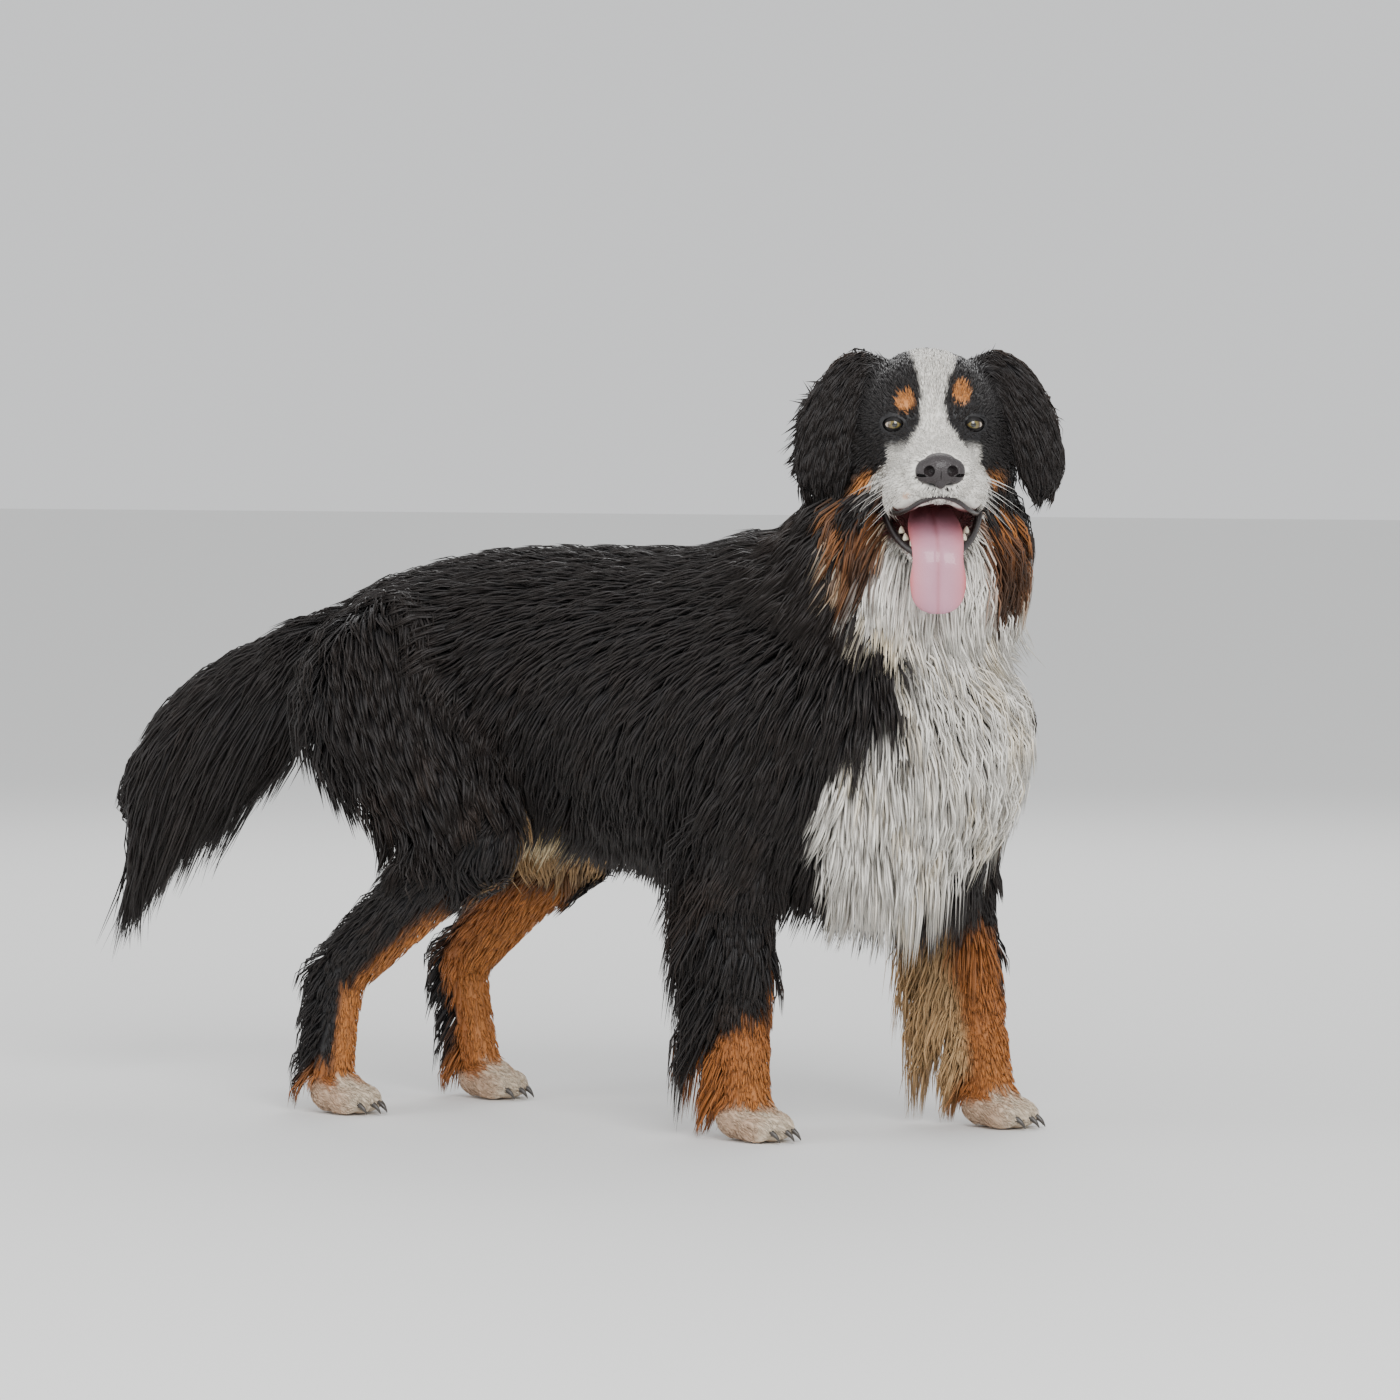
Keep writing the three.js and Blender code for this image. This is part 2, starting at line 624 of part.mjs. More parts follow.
function assemble() {
  const dog = new THREE.Group();
  const cutters = [];
  for (const name of ORDER) {
    const { pieces, openings, finish } = nodes.get(name);
    let made = fuse(pieces.map((make) => make(0))).simplify(CROSSING_EDGE).subtract(below);
    if (openings.length) made = made.subtract(fuse(openings.map((make) => make(0))));
    const box = made.boundingBox();
    for (const cutter of cutters)
      if (boxesMeet(cutter.boundingBox(), box)) made = made.subtract(cutter);
    made = largest(made.simplify(CUT_EDGE));
    dog.add(meshOf(made, name, finish));
    cutters.push(fuse(pieces.map((make) => make(GAP))).add(made));
  }
  dog.position.set(-PLAN_CENTRE.x, -PLAN_CENTRE.y, 0);
  return dog;
}

export default assemble();
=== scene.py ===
"""A life-size Bernese mountain dog: one skin, a coat of solid tufts, and its eyes, nose, mouth and claws.

The shapes are worked out in millimetres in the part's own modelling frame, +X forward, +Y to the dog's left
and +Z up, and placed in the row's frame, in metres, as each mesh is made.
"""

import logging
import math
from collections.abc import Callable, Sequence
from dataclasses import dataclass, field
from enum import Enum

import bmesh
import bpy
import numpy as np
from mathutils import Matrix, Vector
from mathutils.bvhtree import BVHTree
from mathutils.kdtree import KDTree


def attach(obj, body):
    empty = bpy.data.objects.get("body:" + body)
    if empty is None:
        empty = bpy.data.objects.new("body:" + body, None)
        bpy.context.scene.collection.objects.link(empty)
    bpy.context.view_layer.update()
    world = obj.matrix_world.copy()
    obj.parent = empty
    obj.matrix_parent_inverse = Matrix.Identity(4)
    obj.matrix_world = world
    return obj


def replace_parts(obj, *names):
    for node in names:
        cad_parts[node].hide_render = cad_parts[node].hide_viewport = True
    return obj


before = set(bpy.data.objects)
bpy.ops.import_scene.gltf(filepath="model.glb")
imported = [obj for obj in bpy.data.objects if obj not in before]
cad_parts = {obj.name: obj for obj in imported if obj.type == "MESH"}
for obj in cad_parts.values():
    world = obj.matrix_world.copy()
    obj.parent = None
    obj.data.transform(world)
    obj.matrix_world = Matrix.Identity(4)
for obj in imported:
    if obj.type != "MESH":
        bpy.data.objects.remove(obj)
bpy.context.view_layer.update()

MM = 0.001
OFFSET = np.array([176.5, 15.9, 0.0])  # from the modelling frame to the row's, mm
SEED = 11
BODY = "root"

HEAD_AT = np.array([310.0, -35.0, 800.0])  # middle of the skull
HEAD_YAW = -60.0  # degrees
HEAD_PITCH = 3.0  # degrees, nose down
EYE_AT = (53.0, 43.0, 8.0)  # the left eye, in the head's frame
EYE_TURN = 0.3  # radians outward
EYE_RADIUS = 12.0

log = logging.getLogger("scene")

Stations = Sequence[tuple[float, ...]]

# Sections of the skin: x, y, z, half width, half size above, half size below.
TORSO: Stations = (
    (-442, 0, 522, 46, 44, 50),
    (-402, 0, 528, 90, 78, 98),
    (-322, 0, 525, 112, 107, 127),
    (-222, 0, 520, 116, 125, 140),
    (-122, -2, 510, 130, 137, 152),
    (0, -9, 495, 142, 154, 165),
    (110, -22, 480, 144, 181, 164),
    (210, -34, 470, 140, 168, 156),
    (290, -34, 462, 128, 124, 130),
    (345, -32, 454, 86, 76, 88),
    (372, -30, 450, 42, 38, 44),
)
NECK: Stations = (
    (118, -22, 500, 96, 108, 128),
    (190, -6, 570, 112, 108, 128),
    (240, 8, 640, 110, 96, 118),
    (264, 14, 708, 99, 80, 96),
    (270, 12, 752, 75, 60, 68),
    (272, 12, 790, 36, 26, 30),
)
TAIL: Stations = (
    (-404, 0, 562, 36, 34, 40),
    (-466, 0, 548, 30, 28, 34),
    (-530, 0, 534, 24, 22, 28),
    (-596, 0, 512, 20, 19, 24),
    (-660, 0, 480, 17, 17, 20),
    (-714, 0, 437, 14, 14, 16),
    (-750, 0, 392, 10, 10, 12),
    (-766, 0, 362, 5, 5, 6),
)
SKULL: Stations = (
    (-112, 0, 8, 22, 22, 26),
    (-98, 0, 8, 54, 50, 55),
    (-62, 0, 6, 75, 70, 74),
    (-22, 0, 2, 80, 79, 78),
    (16, 0, -2, 76, 78, 76),
    (46, 0, -8, 63, 60, 68),
    (66, 0, -20, 50, 36, 52),
    (90, 0, -32, 43, 30, 42),
    (124, 0, -38, 41, 27, 38),
    (150, 0, -42, 35, 25, 32),
    (161, 0, -44, 22, 16, 21),
)
JAW: Stations = (
    (-30, 0, -66, 46, 20, 26),
    (10, 0, -87, 49, 14, 25),
    (48, 0, -109, 43, 12, 21),
    (82, 0, -129, 34, 10, 18),
    (100, 0, -139, 25, 9, 15),
    (110, 0, -143, 13, 6, 9),
)
TONGUE: Stations = (
    (30, 0, -90, 24, 6, 5),
    (70, 0, -102, 29, 6, 5),
    (102, 0, -112, 30, 6, 5),
    (125, 0, -121, 29, 5, 5),
    (136, 0, -138, 28, 4.5, 4.5),
    (139, 0, -160, 31, 4.5, 4.5),
    (138, 0, -180, 28, 4, 4),
    (136, 0, -191, 20, 3.5, 3.5),
    (135, 0, -196, 9, 2, 2),
)
EAR: Stations = (
    (-42, 50, 66, 28, 8, 8),
    (-33, 82, 56, 42, 7, 7),
    (-22, 102, 22, 47, 6, 6),
    (-15, 113, -14, 44, 5.5, 5.5),
    (-12, 120, -42, 32, 5, 5),
    (-12, 122, -58, 15, 4, 4),
)
UPPER_LIP = (
    (14, 57, -72),
    (44, 54, -80),
    (76, 49, -87),
    (104, 43, -88),
    (132, 34, -82),
    (152, 18, -71),
    (158, 0, -66),
)
LOWER_LIP = ((12, 56, -76), (40, 52, -95), (70, 43, -115), (92, 29, -128), (105, 13, -134), (109, 0, -136))

JOINTS = {
    "foreleg": {
        -1: ((238, -132, 462), (128, -140, 338), (124, -131, 106), (126, -130, 0)),
        1: ((306, 96, 470), (272, 108, 340), (302, 116, 106), (312, 120, 0)),
    },
    "hindleg": {
        -1: ((-352, -92, 508), (-222, -124, 330), (-412, -113, 168), (-424, -110, 0)),
        1: ((-352, 92, 508), (-232, 122, 318), (-380, 112, 166), (-352, 110, 0)),
    },
}
EAR_SPREAD = {-1: 1.03, 1: 1.08}


class Side(Enum):
    """A side of the dog."""

    LEFT = 1
    RIGHT = -1


def rotation(axis: str, degrees: float) -> np.ndarray:
    """A 3 by 3 turn about an axis."""
    return np.array(Matrix.Rotation(math.radians(degrees), 3, axis))


HEAD_TURN = rotation("Z", HEAD_YAW) @ rotation("Y", HEAD_PITCH)


def from_head(points: np.ndarray) -> np.ndarray:
    """Points of the head's frame in the modelling frame."""
    return np.asarray(points, float) @ HEAD_TURN.T + HEAD_AT


def to_head(points: np.ndarray) -> np.ndarray:
    """Points of the modelling frame in the head's frame."""
    return (np.asarray(points, float) - HEAD_AT) @ HEAD_TURN


def unit(vectors: np.ndarray) -> np.ndarray:
    """The same directions at length 1."""
    return vectors / np.maximum(np.linalg.norm(vectors, axis=-1, keepdims=True), 1e-9)


def smooth(low: float, high: float, values: np.ndarray) -> np.ndarray:
    """A smooth step.

    Args:
        low: where it is 0; it may be above high.
        high: where it is 1.
        values: what to read it at.

    Returns:
        Its height at each value.
    """
    t = np.clip((np.asarray(values, float) - low) / (high - low), 0, 1)
    return t * t * (3 - 2 * t)


def catmull(points: np.ndarray, share: np.ndarray) -> np.ndarray:
    """Points of a smooth curve through the given ones.

    Args:
        points: the places it passes, one a row.
        share: how far along it each wanted point is, 0 to 1.

    Returns:
        The points, one a row.
    """
    p = np.vstack((2 * points[0] - points[1], points, 2 * points[-1] - points[-2]))
    at = np.clip(share, 0, 1) * (len(points) - 1)
    i = np.minimum(at.astype(int), len(points) - 2)
    w = (at - i)[:, None]
    a, b, c, d = p[i], p[i + 1], p[i + 2], p[i + 3]
    return 0.5 * (2 * b + (c - a) * w + (2 * a - 5 * b + 4 * c - d) * w**2 + (3 * b - a - 3 * c + d) * w**3)


@dataclass(frozen=True)
class Tube:
    """A closed tube bent and swollen along stations.

    Args:
        stations: its sections, with their half sizes.
        sides: points round a section.
        steps: sections from one station to the next.
        up: the way its top looks, where a section isn't turned otherwise.
        facing: one direction that all sections are square to, or None for the path's own.
        power: 2 for round sections, and more for boxy ones.
        cup: how far the edges of a flat section bend up, as a share of its half width.
        head: True if the stations are in the head's frame.
    """

    stations: Stations
    sides: int = 24
    steps: int = 4
    up: tuple[float, float, float] = (0, 0, 1)
    facing: tuple[float, float, float] | None = None
    power: float = 2.0
    cup: float = 0.0
    head: bool = False

    def frames(self, count: int) -> tuple[np.ndarray, ...]:
        """Works out sections at even places along the tube.

        Args:
            count: how many.

        Returns:
            Their centres, tangents, ways aside, ways above and half sizes.
        """
        table = np.array(self.stations, float)
        share = np.linspace(0, 1, count)
        centres = catmull(table[:, :3], share)
        sizes = catmull(table[:, 3:], share)
        ahead = catmull(table[:, :3], share + 1e-3) - catmull(table[:, :3], share - 1e-3)
        tangents = unit(ahead)
        if self.facing is not None:
            tangents = np.tile(unit(np.array(self.facing, float)), (count, 1))
        sides = unit(np.cross(np.array(self.up, float), tangents))
        above = np.cross(tangents, sides)
        if self.head:
            centres = from_head(centres)
            tangents, sides, above = (v @ HEAD_TURN.T for v in (tangents, sides, above))
        return centres, tangents, sides, above, sizes

    def build(self, bm: bmesh.types.BMesh) -> None:
        """Adds the tube to a mesh.

        Args:
            bm: the mesh, in millimetres.
        """
        centres, _, sides, above, sizes = self.frames((len(self.stations) - 1) * self.steps + 1)
        rings = []
        for centre, side, top, size in zip(centres, sides, above, sizes):
            ring = bmesh.ops.create_circle(bm, segments=self.sides, radius=1)["verts"]
            for vert in ring:
                across, high = vert.co.x, vert.co.y
                reach = (abs(across) ** self.power + abs(high) ** self.power) ** (-1 / self.power)
                half = size[1] if high > 0 else size[2]
                lift = high * reach * half + self.cup * size[0] * (across * reach) ** 2
                vert.co = Vector(centre + side * across * reach * size[0] + top * lift)
            rings.append(list(dict.fromkeys(edge for vert in ring for edge in vert.link_edges)))
        for one, two in zip(rings, rings[1:]):
            bmesh.ops.bridge_loops(bm, edges=one + two)
        for end in (rings[0], rings[-1]):
            bmesh.ops.contextual_create(bm, geom=end)


@dataclass(frozen=True)
class Ball:
    """An ellipsoid.

    Args:
        centre: its middle, mm.
        radii: its half sizes, mm.
        head: True if it is in the head's frame.
        turn: its turn about the upright axis, radians.
    """

    centre: tuple[float, float, float]
    radii: tuple[float, float, float]
    head: bool = True
    turn: float = 0.0

    def build(self, bm: bmesh.types.BMesh) -> None:
        """Adds the ball to a mesh.

        Args:
            bm: the mesh, in millimetres.
        """
        made = bmesh.ops.create_uvsphere(bm, u_segments=24, v_segments=16, radius=1)["verts"]
        local = np.array([v.co for v in made]) * np.array(self.radii)
        local = local @ rotation("Z", math.degrees(self.turn)).T + np.array(self.centre)
        for vert, at in zip(made, from_head(local) if self.head else local):
            vert.co = Vector(at)


def limb(start: Sequence[float], end: Sequence[float], thick: Sequence[float], flat: float) -> Tube:
    """A tapered limb with round ends.

    Args:
        start: its upper joint, mm.
        end: its lower joint, mm.
        thick: its radii at the start, middle and end, mm.
        flat: its width as a share of its depth.

    Returns:
        The limb as a tube.
    """
    a, b = np.array(start, float), np.array(end, float)
    along = unit(b - a)
    first, middle, last = thick
    places = (
        (a - 0.95 * first * along, 0.3 * first),
        (a - 0.6 * first * along, 0.8 * first),
        (a, first),
        ((a + b) / 2, middle),
        (b, last),
        (b + 0.6 * last * along, 0.8 * last),
        (b + 0.95 * last * along, 0.3 * last),
    )
    return Tube(tuple((*p, r * flat, r, r) for p, r in places), sides=20, up=(1, 0, 0))


def ear(side: Side) -> Tube:
    """The flap of one ear, which looks forward and outward.

    Args:
        side: the side of the head.

    Returns:
        The flap as a tube.
    """
    s = side.value
    stations = tuple((x, s * y * EAR_SPREAD[s], *rest) for x, y, *rest in EAR)
    return Tube(stations, sides=24, up=(0.67, s * 0.63, 0.36), cup=-0.18, head=True)


def paw(x: float, y: float, size: float) -> list[Ball]:
    """A paw's pad and four toes.

    Args:
        x: how far forward the leg ends, mm.
        y: how far to the left, mm.
        size: the paw's size as a share of a fore paw's.

    Returns:
        The pad and the toes.
    """
    balls = [Ball((x + 4, y, 24), (36 * size, 31 * size, 24), head=False)]
    for toe in range(4):
        aside, ahead = (toe - 1.5) * 16 * size, (36 if toe in (1, 2) else 26) * size
        balls.append(Ball((x + ahead, y + aside, 16), (22, 10.5, 16), head=False))
    return balls


def sole(x: float, y: float) -> Tube:
    """The length of a paw, which its coat follows.

    Args:
        x: how far forward the leg ends, mm.
        y: how far to the left, mm.

    Returns:
        The paw as a plain tube.
    """
    return Tube(((x - 24, y, 24, 26, 20, 22), (x + 8, y, 24, 33, 20, 22), (x + 52, y, 17, 27, 14, 15)))


# Markings

BLACK = (0.0075, 0.0068, 0.0078)
BROWN_BLACK = (0.026, 0.014, 0.009)
WHITE = (0.82, 0.79, 0.73)
CREAM = (0.74, 0.6, 0.36)
RUST = (0.34, 0.115, 0.026)
ORANGE = (0.52, 0.2, 0.05)
BLOND = (0.52, 0.33, 0.16)
PALE = (0.72, 0.62, 0.48)
MOUTH = (0.12, 0.03, 0.03)

BROW_SPOTS = ((-31, 31), (30, 40))  # across and up from the middle of the skull, mm

# The blaze's middle and half width by height over the middle of the skull, mm.
BLAZE_Z = (-45, -30, -12, 10, 36, 60, 92, 104)
BLAZE_MIDDLE = (0, 0, 0, 0, -2, 2, 7, 8)
BLAZE_HALF = (62, 46, 30, 14, 12, 19, 29, 22)

# The bib's edges to the photo's left and right by height over the floor, mm, along the view's own width.
BIB_Z = (320, 350, 400, 450, 500, 555, 610, 660, 700, 760)
BIB_LEFT = (170, 140, 138, 150, 214, 216, 204, 186, 180, 180)
BIB_RIGHT = (200, 250, 322, 338, 350, 368, 372, 335, 305, 290)
VIEW_ACROSS = np.array([0.883, 0.469, 0.0])
VIEW_OUT = np.array([0.469, -0.883, 0.0])


def ripple(points: np.ndarray, size: float, seed: float = 0.0) -> np.ndarray:
    """A smooth wandering value from about -1 to 1.

    Args:
        points: where to read it, mm.
        size: how large its features are, mm.
        seed: picks one such pattern.

    Returns:
        The value at each point.
    """
    x, y, z = (np.asarray(points, float) / size).T
    one = np.sin(1.7 * x + 2.3 * y + seed) * np.cos(1.9 * z - 1.3 * x + 2 * seed)
    two = np.sin(3.1 * y - 2.7 * z + 1.4 * seed) * np.cos(2.9 * x + 3.7 * y + seed)
    three = np.sin(6.1 * x - 5.3 * z + seed) * np.cos(6.7 * y + 5.9 * z - seed)
    return 0.45 * one + 0.35 * two + 0.2 * three


def mix(colors: np.ndarray, color: tuple[float, float, float], share: np.ndarray) -> np.ndarray:
    """Colours moved towards one colour by a share each."""
    return colors + (np.array(color) - colors) * np.clip(share, 0, 1)[:, None]


def head_colors(colors: np.ndarray, at: np.ndarray) -> np.ndarray:
    """Lays the face's markings over colours.

    Args:
        colors: the colours so far, one a row.
        at: the points, in the head's frame.

    Returns:
        The new colours.
    """
    x, y, z = at.T
    aside = np.abs(y)
    wander = ripple(at, 14, 3)
    colors = mix(colors, BLACK, smooth(-92, -70, z))
    cheek = smooth(43, 52, aside + 4 * wander) * smooth(-36, -48, z + 5 * wander) * smooth(-48, -30, x)
    cheek = cheek * smooth(82, 68, aside + 5 * wander)
    colors = mix(colors, ORANGE, cheek)
    colors = mix(colors, RUST, cheek * smooth(-52, -84, z))
    colors = mix(colors, BROWN_BLACK, 0.92 * cheek * smooth(-66, -104, z))
    corner = smooth(19, 13, np.hypot((x - 20) * 0.9, z + 68 + 2 * wander)) * smooth(44, 52, aside)
    colors = mix(colors, BLACK, corner)
    for spot_y, spot_z in BROW_SPOTS:
        spot = np.hypot(y - spot_y, (z - spot_z) * 0.95)
        colors = mix(colors, ORANGE, smooth(11.5, 8.5, spot + 2 * wander) * smooth(20, 30, x))
    middle = np.interp(z, BLAZE_Z, BLAZE_MIDDLE)
    half = np.interp(z, BLAZE_Z, BLAZE_HALF)
    blaze = smooth(2.5, -2.5, np.abs(y - middle) - half + 2.5 * wander) * smooth(-48, -20, x)
    blaze = blaze * smooth(-66, -54, z + 4 * wander)
    muzzle = smooth(60, 70, x + 3 * wander) * smooth(-8, -24, z + 3 * wander)
    off_middle = np.abs(y + 12 * smooth(-95, -145, z))
    chin = smooth(-88, -100, z) * smooth(8, -8, off_middle - 26 + 0.7 * (z + 95)) * smooth(-70, -40, x)
    colors = mix(colors, WHITE, np.maximum(np.maximum(blaze, muzzle), chin))
    under_nose = smooth(34, 10, np.hypot(y, (z + 70) * 1.3)) * smooth(125, 140, x)
    speckle = smooth(-0.1, 0.25, ripple(at, 3.2, 9))
    colors = mix(colors, (0.09, 0.08, 0.08), 0.75 * under_nose * speckle)
    freckle = smooth(4.5, 3, np.hypot(y + 36, z + 66)) * smooth(90, 100, x)
    colors = mix(colors, ORANGE, 0.6 * freckle)
    inside = smooth(-68, -74, z + 0.09 * x) * smooth(-122, -112, z + 0.5 * (x - 60)) * smooth(46, 40, aside)
    under_leather = smooth(1.05, 0.95, np.hypot(y / 25, (z + 38) / 18)) * smooth(140, 146, x)
    colors = mix(colors, BLACK, under_leather)
    return mix(colors, MOUTH, inside * smooth(0, 12, x) * smooth(150, 140, x))


def leg_colors(colors: np.ndarray, at: np.ndarray, out: np.ndarray) -> np.ndarray:
    """Lays the markings of the four legs over colours.

    Args:
        colors: the colours so far, one a row.
        at: the points, in the modelling frame.
        out: the ways out of the skin there.

    Returns:
        The new colours.
    """
    x, y, z = at.T
    wander = ripple(at, 24, 5)
    low = z + 14 * wander
    side = np.sign(y)
    fore = smooth(0, 30, x)
    inner = smooth(-0.25, 0.35, -side * out[:, 1])
    ahead = smooth(-0.2, 0.5, out[:, 0])
    left = (y > 0).astype(float)
    rust = fore * smooth(132, 112, low - 26 * ahead)
    shown = np.maximum(inner, ahead * smooth(190, 150, low))
    rust = np.maximum(rust, fore * left * smooth(250, 220, low) * shown)
    rust = np.maximum(rust, fore * smooth(215, 180, low) * inner)
    colors = mix(colors, RUST, rust * smooth(340, 320, z))
    colors = mix(colors, ORANGE, 0.55 * rust * smooth(150, 60, z) * ahead)
    behind = fore * left * smooth(0.1, -0.5, out[:, 0]) * smooth(345, 300, z) * smooth(60, 90, z)
    colors = mix(colors, BLOND, behind)
    hind = 1 - fore
    front = smooth(0.05, 0.55, out[:, 0] - 0.15 * side * out[:, 1])
    rust = hind * np.maximum(front * smooth(268, 236, low), inner * smooth(285, 250, low))
    rust = np.maximum(rust, hind * smooth(70, 50, low))
    rust = rust * (1 - smooth(-0.3, -0.7, out[:, 0]) * smooth(60, 80, z))
    colors = mix(colors, RUST, rust)
    colors = mix(colors, ORANGE, 0.6 * rust * front)
    return mix(colors, PALE, smooth(44, 26, low - 8 * ahead) * (0.5 + 0.4 * ahead))


def markings(at: np.ndarray, out: np.ndarray) -> np.ndarray:
    """The colour of the coat at points of the modelling frame, in millimetres.

    Args:
        at: the points, one a row.
        out: the ways out of the skin there.

    Returns:
        Linear red, green and blue, one row a point.
    """
    x, y, z = at.T
    colors = np.tile(np.array(BLACK), (len(at), 1))
    wander = ripple(at, 60, 1)
    colors = mix(colors, BROWN_BLACK, 0.45 * smooth(0.1, 0.8, wander) * smooth(620, 400, z))
    across = at @ VIEW_ACROSS
    jag = 9 * ripple(at, 26, 2) + 5 * ripple(at, 9, 4)
    bib = smooth(-7, 7, across + jag - np.interp(z, BIB_Z, BIB_LEFT))
    bib = bib * smooth(7, -7, across + jag - np.interp(z, BIB_Z, BIB_RIGHT)) * smooth(318, 330, z + jag)
    bib = bib * smooth(775, 745, z)
    facing = smooth(-0.35, 0.05, out @ VIEW_OUT + 0.6 * out[:, 0]) * smooth(60, 120, x)
    round_left = smooth(0.15, 0.5, out[:, 0]) * smooth(104, 86, y + jag) * smooth(412, 432, z + jag)
    bib = np.maximum(bib * facing, round_left * smooth(200, 260, x) * smooth(700, 680, z) * (y > -30))
    ruff = smooth(0.15, -0.35, out @ VIEW_OUT - 0.3) * smooth(150, 220, x) * smooth(380, 460, z)
    colors = mix(colors, BROWN_BLACK, 0.8 * ruff)
    colors = mix(colors, WHITE, bib)
    cream = smooth(0.05, 0.6, ripple(at, 34, 7)) * 0.55 + smooth(250, 200, across) * smooth(560, 640, z)
    colors = mix(colors, CREAM, bib * 0.75 * np.clip(cream, 0, 1))
    fleck = smooth(0.2, 0.5, ripple(at, 20, 12)) * smooth(330, 350, across) * smooth(345, 370, z)
    colors = mix(colors, BLOND, 0.7 * fleck * smooth(470, 440, z) * smooth(180, 220, x))
    groin = smooth(-330, -300, x) * smooth(-120, -150, x)
    groin = groin * smooth(-0.1, -0.55, out[:, 2]) * smooth(75, 55, abs(y))
    colors = mix(colors, CREAM, groin * smooth(200, 260, z))
    inner_thigh = smooth(0.2, 0.7, -np.sign(y) * out[:, 1]) * smooth(-340, -300, x) * smooth(-150, -190, x)
    colors = mix(colors, BLOND, 0.8 * inner_thigh * smooth(420, 380, z) * smooth(270, 300, z))
    legs = leg_colors(colors, at, out)
    colors = colors + (legs - colors) * smooth(352, 338, z)[:, None] * (1 - bib)[:, None]
    local = to_head(at)
    near = smooth(150, 135, np.linalg.norm((local - (20, 0, -30)) * (0.8, 1, 1), axis=1))
    face = head_colors(colors, local)
    return np.clip(colors + (face - colors) * near[:, None], 0, 1)


# Materials

class Value:
    """A shader socket that takes part in sums, products and differences.

    Args:
        tree: the material's node tree.
        socket: the output socket.
    """

    def __init__(self, tree: bpy.types.NodeTree, socket: bpy.types.NodeSocket) -> None:
        """Keeps the tree and the socket."""
        self.tree = tree
        self.socket = socket

    def _maths(self, operation: str, other: "Value | float", swap: bool = False) -> "Value":
        """The result of one operation.

        Args:
            operation: its name on the maths node.
            other: a number or another value.
            swap: True if the other term comes first.

        Returns:
            The result.
        """
        vector = self.socket.type in {"RGBA", "VECTOR"}
        made = self.tree.nodes.new("ShaderNodeVectorMath" if vector else "ShaderNodeMath")
        made.operation = operation
        for i, term in enumerate((other, self) if swap else (self, other)):
            if isinstance(term, Value):
                self.tree.links.new(term.socket, made.inputs[i])
            else:
                made.inputs[i].default_value = (term,) * 3 if vector else term
        return Value(self.tree, made.outputs[0])

    def __add__(self, other: "Value | float") -> "Value":
        """The sum."""
        return self._maths("ADD", other)

    def __radd__(self, other: float) -> "Value":
        """The sum with a number first."""
        return self._maths("ADD", other, True)

    def __mul__(self, other: "Value | float") -> "Value":
        """The product."""
        return self._maths("MULTIPLY", other)

    def __rmul__(self, other: float) -> "Value":
        """The product with a number first."""
        return self._maths("MULTIPLY", other, True)


COAT_ROUGHNESS = 0.06  # of a clear, wet layer
BUMP_DEPTH = 0.001  # metres
STREAK_COUNT = 5.0  # across one tuft
STREAK_DARK = 0.62  # the darkest streak, as a share of the coat's colour
STREAK_RANGE = 0.76  # from the darkest streak to the lightest


